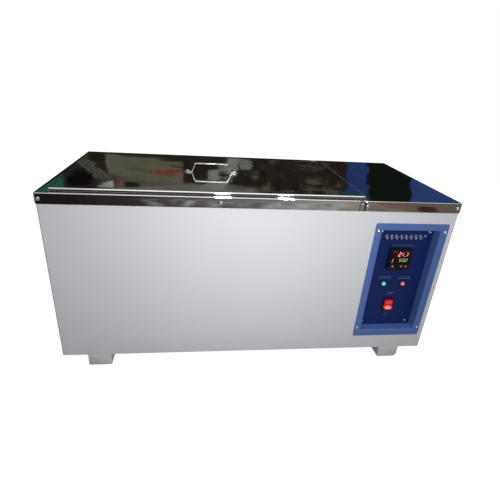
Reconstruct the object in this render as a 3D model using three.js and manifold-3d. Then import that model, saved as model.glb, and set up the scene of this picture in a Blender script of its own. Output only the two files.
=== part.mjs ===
// Rectangular double-walled laboratory water bath: a stainless tank under a lift-off lid, a painted
// casing on four feet, and a control compartment with a recessed panel at the right.
//
// Units are millimetres. +X is to the right, +Y to the back and +Z up. The origin is on the floor at
// the centre of the whole bath's outline, its rear drain valve included.

import * as THREE from 'three';
import { mergeVertices } from 'three/addons/utils/BufferGeometryUtils.js';
import Module from 'manifold-3d';

const wasm = await Module();
wasm.setup();

// ------------------------------------------------------------------ driving dimensions

const SHEET = 1.2;              // steel sheet of the casing, deck, tank and lid
const GAP = 0.3;                // clearance between neighbouring pieces

const TANK_W = 546;             // tank, inside
const TANK_D = 266;
const TANK_DEPTH = 236;         // tank floor to the top of the deck
const TANK_CORNER_R = 18;
const TANK_FLOOR_R = 10;
const TANK_FLANGE = 6;
const JOINT_LAND = 1;           // tank flange to the deck's joint

const BODY_H = 352;             // casing's lower edge to the top of the deck
const CASE_CORNER_R = 4;
const REAR_RETURN = 14;         // inward fold at the back edges of the casing
const PAN_LIP = 18;

const LID_OVERLAP = 18;         // lid beyond the tank opening, all round
const LID_H = 5;
const LID_LIFT = 1;             // daylight between the lid's lower edge and the deck
const LID_EDGE_R = 2.5;
const LID_CORNER_R = 5;

const DECK_LEFT = 21;           // deck strip left of the lid
const DECK_FRONT = 11;          // deck strip in front of the lid
const DECK_BACK = 51;           // deck strip behind the lid
const DECK_BAND_H = 20;         // turned-down edge of the deck
const DECK_EDGE_R = 3.2;
const DECK_CORNER_R = 4.5;
const SEAM_OFFSET = 10;         // tank opening to the joint with the compartment cover

const JACKET_AIR = 2.8;         // insulation to the inside of the casing's front
const BEARER_W = 50;
const BEARER_T = 2;
const FOOT_H = 28;
const FOOT_W = 47;
const FOOT_D = 42;
const FOOT_INSET = 52;          // deck end to the foot
const FOOT_WALL = 2;
const FOOT_OUTER_R = 9;         // lower outer corner of the feet under the controls

const PANEL_W = 156.5;          // control frame over its flange
const PANEL_LEFT = 34;          // deck joint to the control frame
const PANEL_RIGHT = 14.5;       // control frame to the deck's right end
const PANEL_TOP = 44;           // deck top to the control frame
const PANEL_BOTTOM = 35;        // control frame to the casing's lower edge
const PANEL_FLANGE = 15.4;
const PANEL_DEPTH = 22;         // flange front to plate front
const PANEL_RETURN = 17;
const PLATE_T = 1.5;

const CONTROLLER = 48;          // temperature controller, square front
const CONTROLLER_DROP = 48;     // plate top edge to the controller
const CONTROLLER_OFFSET = -2.2; // controller centre from the panel centre
const CONTROLLER_PROUD = 8;
const CONTROLLER_CASE = 44.6;
const CONTROLLER_CASE_D = 70;
const KEY_R = 3.1;
const KEY_PLACES = { key_set: -13.2, key_down: 6, key_up: 16.2 };

const LAMP_R = 7.2;
const LAMP_LENS_R = 4.7;
const LAMP_WALL = 1;
const LAMP_PITCH = 44;
const ROCKER_W = 18.4;
const ROCKER_FRAME_W = 25.6;
const ROCKER_FRAME_H = 32.4;
const ROCKER_RISE = 55;         // plate bottom edge to the rocker's centre
const ROCKER_TILT = 12;         // degrees either side of level

const HANDLE_GRIP = 72;
const HANDLE_SPLAY = 6;
const HANDLE_FOOT = 15;
const HANDLE_H = 20;
const HANDLE_T = 2;
const HANDLE_DEPTH = 13;
const HANDLE_OFFSET = -4;       // handle centre from the lid's centre

const HEATER_R = 5.5;
const HEATER_BEND_R = 60;
const HEATER_REACH = 420;
const HEATER_RISE = 24;         // tank floor to the heater's centre line
const TRAY_RISE = 48;           // tank floor to the top of the tray
const TRAY_T = 1.5;
const TRAY_END_GAP = 24;        // tray's ends to the tank's end walls
const TRAY_HOLE_R = 11;
const TRAY_PITCH = 60;
const TRAY_RIM = 20;            // tray's edge to the outermost holes, at least
const STAND_INSET = 2;
const STAND_BAR = 6;
const PROBE_R = 3;
const PROBE_LENGTH = 110;
const PROBE_SHARE = 0.6;        // probe's place between the heater's rear leg and the tank's wall

const DRAIN_R = 10.5;
const DRAIN_BORE_R = 7.5;
const DRAIN_BEND_R = 30;
const DRAIN_DROP = 62;          // tank floor to the drain's centre line
const DRAIN_FROM_LEFT = 110;    // tank's left wall to the drain
const DRAIN_FROM_BACK = 70;     // tank's rear wall to the drain hole
const VALVE_L = 58;
const LEVER_L = 62;

const GLAND_R = 9;
const GLAND_FROM_RIGHT = 62;
const GLAND_RISE = 45;

// ------------------------------------------------------------------ derived places

const SEAM_FROM_LEFT = DECK_LEFT + LID_OVERLAP + TANK_W + SEAM_OFFSET;
const DECK_W = SEAM_FROM_LEFT + PANEL_LEFT + PANEL_W + PANEL_RIGHT;
const DECK_D = DECK_FRONT + LID_OVERLAP + TANK_D + LID_OVERLAP + DECK_BACK;
const LEFT = -DECK_W / 2;
const RIGHT = DECK_W / 2;
const FRONT = -DECK_D / 2;
const BACK = DECK_D / 2;
const SEAM_X = LEFT + SEAM_FROM_LEFT;

const CASE_Z0 = FOOT_H;
const DECK_Z = CASE_Z0 + BODY_H;                      // top face of the deck
const CASE_Z1 = DECK_Z - DECK_EDGE_R;                 // casing's top edge, below the deck's bend
const CASE_X = DECK_W / 2 - SHEET - GAP;              // casing's outer half width
const CASE_Y = DECK_D / 2 - SHEET - GAP;              // casing's outer half depth

const TANK_X0 = LEFT + DECK_LEFT + LID_OVERLAP;
const TANK_X1 = TANK_X0 + TANK_W;
const TANK_Y0 = FRONT + DECK_FRONT + LID_OVERLAP;
const TANK_Y1 = TANK_Y0 + TANK_D;
const TANK_Z0 = DECK_Z - TANK_DEPTH;
const TANK_MID_X = (TANK_X0 + TANK_X1) / 2;
const TANK_MID_Y = (TANK_Y0 + TANK_Y1) / 2;
const LID_Z1 = DECK_Z + LID_LIFT + LID_H;             // top face of the lid
const CASE_INNER_Y = CASE_Y - SHEET;
const INSULATION = CASE_INNER_Y + TANK_Y0 - SHEET - GAP - JACKET_AIR;
const BULKHEAD_X = TANK_X1 + SHEET + GAP + INSULATION + GAP;

const PANEL_X0 = SEAM_X + PANEL_LEFT;
const PANEL_X1 = PANEL_X0 + PANEL_W;
const PANEL_Z1 = DECK_Z - PANEL_TOP;
const PANEL_Z0 = CASE_Z0 + PANEL_BOTTOM;
const PANEL_MID_X = (PANEL_X0 + PANEL_X1) / 2;
const FRAME_Y = -CASE_Y - GAP - SHEET;                // front face of the control frame
const PLATE_Y = FRAME_Y + PANEL_DEPTH;                // front face of the control plate
const PLATE_X0 = PANEL_X0 + PANEL_FLANGE;
const PLATE_X1 = PANEL_X1 - PANEL_FLANGE;
const PLATE_Z0 = PANEL_Z0 + PANEL_FLANGE;
const PLATE_Z1 = PANEL_Z1 - PANEL_FLANGE;

const CONTROLLER_X = PANEL_MID_X + CONTROLLER_OFFSET;
const CONTROLLER_Z = PLATE_Z1 - CONTROLLER_DROP - CONTROLLER / 2;
const ROCKER_X = PANEL_MID_X;
const ROCKER_Z = PLATE_Z0 + ROCKER_RISE;
const LAMP_Z = (CONTROLLER_Z - CONTROLLER / 2 + ROCKER_Z + ROCKER_FRAME_H / 2) / 2;

const DRAIN_X = TANK_X0 + DRAIN_FROM_LEFT;
const DRAIN_Y = TANK_Y1 - DRAIN_FROM_BACK;
const DRAIN_Z = TANK_Z0 - SHEET - DRAIN_DROP;
const VALVE_Y = CASE_Y + 8;                           // start of the valve, behind the rear cover
const VALVE_END = VALVE_Y + VALVE_L;
const STEM_Y = VALVE_Y + VALVE_L * 0.42;
const GLAND_X = CASE_X - GLAND_FROM_RIGHT;
const GLAND_Z = CASE_Z0 + GLAND_RISE;

const BAND_SCREW_HEAD = 1.8;
const BAND_SCREW_Z = DECK_Z - 10.5;
const BAND_SCREWS = {
    band_screw_left: LEFT + 8,
    band_screw_middle: LEFT + 322,
    band_screw_joint: SEAM_X + 8,
    band_screw_right: RIGHT - 9,
};

// ------------------------------------------------------------------ geometry helpers

function solidOf(geometry) {
    const plain = geometry.clone();
    plain.deleteAttribute('normal');
    plain.deleteAttribute('uv');
    const merged = mergeVertices(plain, 1e-4);
    return new wasm.Manifold(new wasm.Mesh({
        numProp: 3,
        vertProperties: new Float32Array(merged.attributes.position.array),
        triVerts: new Uint32Array(merged.index.array),
    }));
}

function geometryOf(solid) {
    const mesh = solid.getMesh();
    const geometry = new THREE.BufferGeometry();
    geometry.setAttribute('position', new THREE.BufferAttribute(new Float32Array(mesh.vertProperties), 3));
    geometry.setIndex(new THREE.BufferAttribute(new Uint32Array(mesh.triVerts), 1));
    geometry.computeVertexNormals();
    return geometry;
}

function cut(base, ...tools) {
    return geometryOf(tools.reduce((solid, tool) => solid.subtract(solidOf(tool)), solidOf(base)));
}

function join(first, ...others) {
    return geometryOf(others.reduce((solid, other) => solid.add(solidOf(other)), solidOf(first)));
}

function common(first, second) {
    return geometryOf(solidOf(first).intersect(solidOf(second)));
}

function block(x0, x1, y0, y1, z0, z1) {
    const box = new THREE.BoxGeometry(x1 - x0, y1 - y0, z1 - z0);
    return box.translate((x0 + x1) / 2, (y0 + y1) / 2, (z0 + z1) / 2);
}

// A rectangle with round corners, as a drawn outline. As a hole it is drawn the other way round.
function roundedOutline(path, u0, u1, v0, v1, r) {
    path.moveTo(u0 + r, v0);
    path.lineTo(u1 - r, v0);
    path.absarc(u1 - r, v0 + r, r, -Math.PI / 2, 0);
    path.lineTo(u1, v1 - r);
    path.absarc(u1 - r, v1 - r, r, 0, Math.PI / 2);
    path.lineTo(u0 + r, v1);
    path.absarc(u0 + r, v1 - r, r, Math.PI / 2, Math.PI);
    path.lineTo(u0, v0 + r);
    path.absarc(u0 + r, v0 + r, r, Math.PI, Math.PI * 1.5);
    return path;
}

function roundedShape(u0, u1, v0, v1, r) {
    return roundedOutline(new THREE.Shape(), u0, u1, v0, v1, r);
}

function polygon(points) {
    return new THREE.Shape(points.map(([u, v]) => new THREE.Vector2(u, v)));
}

function prismZ(shape, z0, z1, curveSegments = 4) {
    const prism = new THREE.ExtrudeGeometry(shape, { depth: z1 - z0, bevelEnabled: false, curveSegments });
    return prism.translate(0, 0, z0);
}

// The shape's u runs along X and its v along Z.
function prismY(shape, y0, y1, curveSegments = 4) {
    const prism = new THREE.ExtrudeGeometry(shape, { depth: y1 - y0, bevelEnabled: false, curveSegments });
    return prism.rotateX(Math.PI / 2).translate(0, y1, 0);
}

// The shape's u runs along Y and its v along Z.
function prismX(shape, x0, x1, curveSegments = 4) {
    const prism = new THREE.ExtrudeGeometry(shape, { depth: x1 - x0, bevelEnabled: false, curveSegments });
    const turn = new THREE.Matrix4().makeBasis(
        new THREE.Vector3(0, 1, 0), new THREE.Vector3(0, 0, 1), new THREE.Vector3(1, 0, 0));
    return prism.applyMatrix4(turn).translate(x0, 0, 0);
}

// A block with round vertical corners and a round edge at its top, flat underneath.
function crowned(x0, x1, y0, y1, z0, z1, cornerR, edgeR) {
    const depth = z1 - z0;
    const swollen = new THREE.ExtrudeGeometry(roundedShape(x0, x1, y0, y1, cornerR), {
        depth,
        bevelEnabled: true,
        bevelThickness: edgeR,
        bevelSize: edgeR,
        bevelOffset: -edgeR,
        bevelSegments: 3,
        curveSegments: 3,
    });
    swollen.translate(0, 0, z0 - edgeR);
    return common(swollen, block(x0 - 1, x1 + 1, y0 - 1, y1 + 1, z0, z1 + 1));
}

// The same block upside down: round at its bottom and flat on top.
function roundedBelow(x0, x1, y0, y1, z0, z1, cornerR, edgeR) {
    return crowned(x0, x1, -y1, -y0, -z1, -z0, cornerR, edgeR).rotateX(Math.PI);
}

// A solid of revolution from [radius, distance] points, turned so that its axis runs along X, Y or Z.
function turned(points, axis, x, y, z, sides = 12) {
    const profile = points.map(([radius, along]) => new THREE.Vector2(radius, along));
    const lathe = new THREE.LatheGeometry(profile, sides);
    if (axis === 'z') lathe.rotateX(Math.PI / 2);
    if (axis === 'x') lathe.rotateZ(-Math.PI / 2);
    return lathe.translate(x, y, z);
}

function rod(radius, axis, from, to, a, b, sides = 12) {
    const points = [[0, from], [radius, from], [radius, to], [0, to]];
    if (axis === 'x') return turned(points, 'x', 0, a, b, sides);
    if (axis === 'y') return turned(points, 'y', a, 0, b, sides);
    return turned(points, 'z', a, b, 0, sides);
}

// ------------------------------------------------------------------ finishes and assembly

function look(color, roughness, metalness) {
    return new THREE.MeshStandardMaterial({ color, roughness, metalness });
}

const LOOKS = {
    mirrorSteel: look(0x9c9c98, 0.08, 1.0),
    satinSteel: look(0x8f9192, 0.3, 1.0),
    chrome: look(0xd6d6d6, 0.1, 1.0),
    greyPaint: look(0xc9cbcf, 0.35, 0.0),
    footPaint: look(0x9b9b9b, 0.5, 0.0),
    bluePaint: look(0x4b68a8, 0.4, 0.0),
    navyPaint: look(0x141f58, 0.35, 0.0),
    wool: look(0xd9cfa6, 0.95, 0.0),
    blackPlastic: look(0x16161a, 0.4, 0.0),
    greyPlastic: look(0x55575b, 0.6, 0.0),
    whitePlastic: look(0xd8d4c8, 0.6, 0.0),
    darkGlass: look(0x120406, 0.1, 0.0),
    greenLens: look(0x2fd6a8, 0.2, 0.0),
    redLens: look(0xf0506e, 0.2, 0.0),
    rockerRed: look(0xe0202c, 0.25, 0.0),
    leverBlue: look(0x2450b0, 0.5, 0.0),
    brass: look(0xb89a52, 0.3, 1.0),
    galvanised: look(0xa7aaad, 0.45, 0.9),
};

const bath = new THREE.Group();

function add(name, geometry, finish, parent = bath) {
    const mesh = new THREE.Mesh(geometry, finish);
    mesh.name = name;
    parent.add(mesh);
    return mesh;
}

// A pan-head screw. It points along +Y, or along -Z when it is set down from above.
function screw(headR, headH, shankR, length) {
    return [[0, -headH], [headR * 0.62, -headH], [headR * 0.93, -headH * 0.55], [headR, 0],
        [shankR, 0], [shankR, length], [0, length]];
}

// ------------------------------------------------------------------ casing

const bandScrewHoles = Object.values(BAND_SCREWS)
    .map((x) => rod(1.6 + GAP, 'y', FRONT - 5, FRONT + 8, x, BAND_SCREW_Z, 10));

const PANEL_SCREW = { headR: 3.2, headH: 1.7, shankR: 1.6, length: 7 };
const PANEL_SCREWS = {
    panel_screw_upper_left: [PANEL_X0 + 6.8, PANEL_Z1 - 16],
    panel_screw_upper_right: [PANEL_X1 - 6.3, PANEL_Z1 - 18],
    panel_screw_lower_left: [PANEL_X0 + 6.3, PANEL_Z0 + 22],
    panel_screw_lower_right: [PANEL_X1 - 6.3, PANEL_Z0 + 21],
};
const panelScrewHoles = Object.values(PANEL_SCREWS)
    .map(([x, z]) => rod(PANEL_SCREW.shankR + GAP, 'y', FRONT - 5, FRONT + 8, x, z, 10));

{
    const sideY1 = CASE_Y - SHEET - GAP;
    const outer = prismZ(roundedShape(-CASE_X, CASE_X, -CASE_Y, sideY1, CASE_CORNER_R), CASE_Z0, CASE_Z1);
    const inner = prismZ(
        roundedShape(-CASE_X + SHEET, CASE_X - SHEET, -CASE_Y + SHEET, sideY1 - SHEET,
            CASE_CORNER_R - SHEET),
        CASE_Z0 - 1, CASE_Z1 + 1);
    const openBack = block(-CASE_X + REAR_RETURN, CASE_X - REAR_RETURN, sideY1 - 3, sideY1 + 3,
        CASE_Z0 - 1, CASE_Z1 + 1);
    const recess = block(PLATE_X0 - SHEET - GAP, PLATE_X1 + SHEET + GAP, -CASE_Y - 1, -CASE_Y + SHEET + 1,
        PLATE_Z0 - SHEET - GAP, PLATE_Z1 + SHEET + GAP);
    add('casing_wrap', cut(outer, inner, openBack, recess, ...bandScrewHoles, ...panelScrewHoles),
        LOOKS.greyPaint);
}

{
    const halfW = CASE_X - (DECK_CORNER_R - SHEET);
    const sheet = prismY(roundedShape(-halfW, halfW, CASE_Z0, CASE_Z1, 1.5), CASE_Y - SHEET, CASE_Y);
    const slots = [];
    const slotX = (BULKHEAD_X + CASE_X) / 2;
    for (let row = 0; row < 8; row += 1) {
        const z = CASE_Z1 - 60 - row * 12;
        slots.push(block(slotX - 45, slotX + 45, CASE_Y - 5, CASE_Y + 5, z - 1.8, z + 1.8));
    }
    const drainHole = rod(DRAIN_R + 2, 'y', CASE_Y - 5, CASE_Y + 5, DRAIN_X, DRAIN_Z, 16);
    const glandHole = rod(GLAND_R * 0.75 + GAP, 'y', CASE_Y - 5, CASE_Y + 5, GLAND_X, GLAND_Z, 12);
    add('rear_cover', cut(sheet, ...slots, drainHole, glandHole), LOOKS.greyPaint);
}

const PAN_X = CASE_X - SHEET - GAP;
const PAN_Y0 = -CASE_Y + SHEET + GAP;
const PAN_Y1 = CASE_Y - 2 * SHEET - 3 * GAP - SHEET;
{
    const outer = prismZ(roundedShape(-PAN_X, PAN_X, PAN_Y0, PAN_Y1, 3), CASE_Z0, CASE_Z0 + PAN_LIP);
    const inner = prismZ(
        roundedShape(-PAN_X + SHEET, PAN_X - SHEET, PAN_Y0 + SHEET, PAN_Y1 - SHEET, 2),
        CASE_Z0 + SHEET, CASE_Z0 + PAN_LIP + 1);
    add('floor_pan', cut(outer, inner), LOOKS.galvanised);
}

// The feet are folded boxes, open at the top under the floor pan.
{
    const feet = {
        foot_front_left: [LEFT + FOOT_INSET, -CASE_Y, 1.5, 1.5],
        foot_front_right: [RIGHT - FOOT_INSET - FOOT_W, -CASE_Y, 1.5, FOOT_OUTER_R],
        foot_rear_left: [LEFT + FOOT_INSET, CASE_Y - FOOT_D, 1.5, 1.5],
        foot_rear_right: [RIGHT - FOOT_INSET - FOOT_W, CASE_Y - FOOT_D, 1.5, FOOT_OUTER_R],
    };
    const z1 = CASE_Z0 - GAP;
    for (const [name, [x, y, leftR, rightR]] of Object.entries(feet)) {
        const profile = new THREE.Shape();
        profile.moveTo(x, z1);
        profile.lineTo(x, leftR);
        profile.absarc(x + leftR, leftR, leftR, Math.PI, Math.PI * 1.5);
        profile.lineTo(x + FOOT_W - rightR, 0);
        profile.absarc(x + FOOT_W - rightR, rightR, rightR, -Math.PI / 2, 0);
        profile.lineTo(x + FOOT_W, z1);
        const inset = Math.max(FOOT_WALL, rightR * 0.4);
        const hollow = block(x + FOOT_WALL, x + FOOT_W - inset, y + FOOT_WALL, y + FOOT_D - FOOT_WALL,
            inset, z1 + 1);
        add(name, cut(prismY(profile, y, y + FOOT_D), hollow), LOOKS.footPaint);
    }
}

// ------------------------------------------------------------------ tank, insulation and bulkhead

const HEATER_Z = TANK_Z0 + HEATER_RISE;
const HEATER_PLATE = { halfW: HEATER_BEND_R + 18, halfH: 13, t: 3 };
const PROBE_Y = TANK_MID_Y + HEATER_BEND_R + (TANK_D / 2 - HEATER_BEND_R) * PROBE_SHARE;
const PROBE_Z = HEATER_Z + 2;
const PROBE_FITTING_R = 8;
const heaterHoles = [-1, 1].map((side) => rod(HEATER_R + GAP, 'x', TANK_X1 - 3, TANK_X1 + 8,
    TANK_MID_Y + side * HEATER_BEND_R, HEATER_Z, 12));
const FLANGE_Z1 = DECK_Z - SHEET - GAP;

{
    const outer = roundedBelow(TANK_X0 - SHEET, TANK_X1 + SHEET, TANK_Y0 - SHEET, TANK_Y1 + SHEET,
        TANK_Z0 - SHEET, FLANGE_Z1, TANK_CORNER_R + SHEET, TANK_FLOOR_R + SHEET);
    const flange = prismZ(
        roundedShape(TANK_X0 - TANK_FLANGE, SEAM_X - JOINT_LAND, TANK_Y0 - TANK_FLANGE,
            TANK_Y1 + TANK_FLANGE, TANK_CORNER_R + TANK_FLANGE),
        FLANGE_Z1 - SHEET, FLANGE_Z1);
    const inner = roundedBelow(TANK_X0, TANK_X1, TANK_Y0, TANK_Y1, TANK_Z0, FLANGE_Z1 + 5,
        TANK_CORNER_R, TANK_FLOOR_R);
    const drainHole = rod(DRAIN_BORE_R, 'z', TANK_Z0 - 5, TANK_Z0 + 5, DRAIN_X, DRAIN_Y, 12);
    const probeHole = rod(PROBE_R + GAP, 'x', TANK_X1 - 3, TANK_X1 + 8, PROBE_Y, PROBE_Z, 12);
    add('tank', cut(join(outer, flange), inner, drainHole, probeHole, ...heaterHoles), LOOKS.satinSteel);
}

{
    const inside = SHEET + GAP;
    const z1 = FLANGE_Z1 - SHEET - GAP;
    const outer = prismZ(
        roundedShape(TANK_X0 - inside - INSULATION, TANK_X1 + inside + INSULATION,
            TANK_Y0 - inside - INSULATION, TANK_Y1 + inside + INSULATION, 12),
        TANK_Z0 - inside - INSULATION, z1);
    const hollow = prismZ(
        roundedShape(TANK_X0 - inside, TANK_X1 + inside, TANK_Y0 - inside, TANK_Y1 + inside,
            TANK_CORNER_R + inside),
        TANK_Z0 - inside, z1 + 1);
    const drainWay = rod(DRAIN_R + 3, 'z', TANK_Z0 - INSULATION - 10, TANK_Z0 + 5, DRAIN_X, DRAIN_Y, 12);
    const heaterWay = block(TANK_X1, TANK_X1 + INSULATION + 10,
        TANK_MID_Y - HEATER_PLATE.halfW - 2, TANK_MID_Y + HEATER_PLATE.halfW + 2,
        HEATER_Z - HEATER_PLATE.halfH - 2, HEATER_Z + HEATER_PLATE.halfH + 2);
    const probeWay = rod(PROBE_FITTING_R + 2, 'x', TANK_X1, TANK_X1 + INSULATION + 10,
        PROBE_Y, PROBE_Z, 12);
    add('insulation_jacket', cut(outer, hollow, drainWay, heaterWay, probeWay), LOOKS.wool);
}

// Two bearers carry the tank and its jacket on the floor pan. Each is a folded channel.
{
    const z0 = CASE_Z0 + SHEET + GAP;
    const z1 = TANK_Z0 - SHEET - GAP - INSULATION - GAP;
    const leftX = DRAIN_X - DRAIN_R - BEARER_W - 8;
    const rightX = TANK_X1 - 2 * BEARER_W;
    for (const [name, x] of [['tank_bearer_left', leftX], ['tank_bearer_right', rightX]]) {
        const y0 = PAN_Y0 + SHEET + 12;
        const outer = block(x, x + BEARER_W, y0, TANK_Y1, z0, z1);
        const hollow = block(x + BEARER_T, x + BEARER_W - BEARER_T, y0 - 1, TANK_Y1 + 1,
            z0 - 1, z1 - BEARER_T);
        add(name, cut(outer, hollow), LOOKS.galvanised);
    }
}

// The bulkhead shields the compartment from the tank. It is folded at its foot.
const BULKHEAD_Z0 = CASE_Z0 + SHEET + GAP;
{
    const y0 = PAN_Y0 + SHEET + GAP;
    const y1 = PAN_Y1 - SHEET - GAP;
    const wall = block(BULKHEAD_X, BULKHEAD_X + SHEET, y0, y1, BULKHEAD_Z0, CASE_Z1 - GAP - SHEET);
    const foot = block(BULKHEAD_X, BULKHEAD_X + 16, y0, y1, BULKHEAD_Z0, BULKHEAD_Z0 + SHEET);
    const heaterWay = block(BULKHEAD_X - 2, BULKHEAD_X + 4,
        TANK_MID_Y - HEATER_BEND_R - 12, TANK_MID_Y + HEATER_BEND_R + 12, HEATER_Z - 12, HEATER_Z + 12);
    const probeWay = rod(6, 'x', BULKHEAD_X - 2, BULKHEAD_X + 4, PROBE_Y, PROBE_Z, 12);
    add('bulkhead', cut(join(wall, foot), heaterWay, probeWay), LOOKS.galvanised);
}

// ------------------------------------------------------------------ deck

{
    const z0 = DECK_Z - DECK_BAND_H;
    const shell = cut(
        crowned(LEFT, RIGHT, FRONT, BACK, z0, DECK_Z, DECK_CORNER_R, DECK_EDGE_R),
        crowned(LEFT + SHEET, RIGHT - SHEET, FRONT + SHEET, BACK - SHEET, z0 - 5, DECK_Z - SHEET,
            DECK_CORNER_R - SHEET, DECK_EDGE_R - SHEET));
    const collarOutline = roundedShape(TANK_X0 - SHEET, TANK_X1 + SHEET, TANK_Y0 - SHEET, TANK_Y1 + SHEET,
        TANK_CORNER_R + SHEET);
    const collar = prismZ(collarOutline, DECK_Z - SHEET, LID_Z1 - SHEET - GAP);
    const opening = prismZ(roundedShape(TANK_X0, TANK_X1, TANK_Y0, TANK_Y1, TANK_CORNER_R),
        DECK_Z - 10, DECK_Z + 20);
    const tankSide = block(LEFT - 1, SEAM_X - GAP / 2, FRONT - 1, BACK + 1, z0 - 1, DECK_Z + 30);
    const coverSide = block(SEAM_X + GAP / 2, RIGHT + 1, FRONT - 1, BACK + 1, z0 - 1, DECK_Z + 30);
    add('tank_surround', cut(common(join(shell, collar), tankSide), opening, ...bandScrewHoles),
        LOOKS.mirrorSteel);
    add('compartment_cover', cut(common(shell, coverSide), ...bandScrewHoles), LOOKS.mirrorSteel);
}

for (const [name, x] of Object.entries(BAND_SCREWS)) {
    const profile = screw(3.3, BAND_SCREW_HEAD, 1.6, 2 * SHEET + 2 * GAP + JACKET_AIR / 2);
    add(name, turned(profile, 'y', x, FRONT - GAP, BAND_SCREW_Z), LOOKS.chrome);
}

// ------------------------------------------------------------------ lid and handle

const HANDLE_X = TANK_MID_X + HANDLE_OFFSET;
const HANDLE_SCREW_X = HANDLE_GRIP / 2 + HANDLE_SPLAY + HANDLE_FOOT * 0.6;
const HANDLE_SCREW_R = 1.5;

{
    const x0 = TANK_X0 - LID_OVERLAP;
    const x1 = TANK_X1 + LID_OVERLAP;
    const y0 = TANK_Y0 - LID_OVERLAP;
    const y1 = TANK_Y1 + LID_OVERLAP;
    const z0 = DECK_Z + LID_LIFT;
    const holes = [-1, 1].map((side) => rod(HANDLE_SCREW_R + GAP, 'z', LID_Z1 - 5, LID_Z1 + 5,
        HANDLE_X + side * HANDLE_SCREW_X, TANK_MID_Y, 10));
    add('lid', cut(
        crowned(x0, x1, y0, y1, z0, LID_Z1, LID_CORNER_R, LID_EDGE_R),
        crowned(x0 + SHEET, x1 - SHEET, y0 + SHEET, y1 - SHEET, z0 - 5, LID_Z1 - SHEET,
            LID_CORNER_R - SHEET, LID_EDGE_R - SHEET),
        ...holes), LOOKS.mirrorSteel);
}

// The handle is one bent strip: foot, splayed leg, grip, leg and foot.
{
    const z0 = LID_Z1 + GAP;
    const z1 = z0 + HANDLE_H;
    const half = HANDLE_GRIP / 2;
    const legFoot = half + HANDLE_SPLAY;
    const end = legFoot + HANDLE_FOOT;
    const t = HANDLE_T;
    const bend = 3.5;
    const right = [[end, z0], [end, z0 + t], [legFoot + bend, z0 + t], [legFoot + 0.6, z0 + t + bend],
        [half, z1 - bend], [half - bend, z1]];
    const under = [[half - bend, z1 - t], [half - t, z1 - bend - 0.6], [legFoot - t, z0 + bend],
        [legFoot, z0]];
    const mirrored = (points) => points.map(([x, z]) => [-x, z]);
    const outline = [...right, ...mirrored(right).reverse(), ...mirrored(under).reverse(), ...under];
    const strip = prismY(polygon(outline.map(([x, z]) => [x + HANDLE_X, z])),
        TANK_MID_Y - HANDLE_DEPTH / 2, TANK_MID_Y + HANDLE_DEPTH / 2);
    const holes = [-1, 1].map((side) => rod(HANDLE_SCREW_R + GAP, 'z', z0 - 2, z0 + 5,
        HANDLE_X + side * HANDLE_SCREW_X, TANK_MID_Y, 10));
    add('lid_handle', cut(strip, ...holes), LOOKS.chrome);
    for (const [name, side] of [['handle_screw_left', -1], ['handle_screw_right', 1]]) {
        const profile = screw(2.8, 1.8, HANDLE_SCREW_R, 8).map(([r, along]) => [r, -along]).reverse();
        add(name, turned(profile, 'z', HANDLE_X + side * HANDLE_SCREW_X, TANK_MID_Y, z0 + t + GAP),
            LOOKS.chrome);
    }
}

// ------------------------------------------------------------------ control frame and plate

{
    const flangeOutline = roundedShape(PANEL_X0, PANEL_X1, PANEL_Z0, PANEL_Z1, 3);
    flangeOutline.holes.push(roundedOutline(new THREE.Path(), PLATE_X0, PLATE_X1, PLATE_Z0, PLATE_Z1, 2));
    const wallOutline = roundedShape(PLATE_X0 - SHEET, PLATE_X1 + SHEET, PLATE_Z0 - SHEET, PLATE_Z1 + SHEET,
        2 + SHEET);
    wallOutline.holes.push(roundedOutline(new THREE.Path(), PLATE_X0, PLATE_X1, PLATE_Z0, PLATE_Z1, 2));
    const returnOutline = roundedShape(PLATE_X0 - SHEET, PLATE_X1 + SHEET, PLATE_Z0 - SHEET,
        PLATE_Z1 + SHEET, 2 + SHEET);
    returnOutline.holes.push(roundedOutline(new THREE.Path(),
        PLATE_X0 + PANEL_RETURN, PLATE_X1 - PANEL_RETURN,
        PLATE_Z0 + PANEL_RETURN, PLATE_Z1 - PANEL_RETURN, 4));
    const returnY = PLATE_Y + PLATE_T + GAP;
    add('control_frame', cut(
        join(
            prismY(flangeOutline, FRAME_Y, FRAME_Y + SHEET, 2),
            prismY(wallOutline, FRAME_Y, returnY + SHEET, 2),
            prismY(returnOutline, returnY, returnY + SHEET, 2)),
        ...panelScrewHoles, ...plateScrewHoles()), LOOKS.bluePaint);
}

function plateScrewPlaces() {
    return {
        plate_screw_upper_left: [PLATE_X0 + 12, PLATE_Z1 - 10],
        plate_screw_upper_right: [PLATE_X1 - 9.5, PLATE_Z1 - 11],
        plate_screw_lower_left: [PLATE_X0 + 11, PLATE_Z0 + 10],
        plate_screw_lower_right: [PLATE_X1 - 10.5, PLATE_Z0 + 9],
    };
}

function plateScrewHoles() {
    return Object.values(plateScrewPlaces())
        .map(([x, z]) => rod(1.5 + GAP, 'y', PLATE_Y - 3, PLATE_Y + 8, x, z, 10));
}

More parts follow.
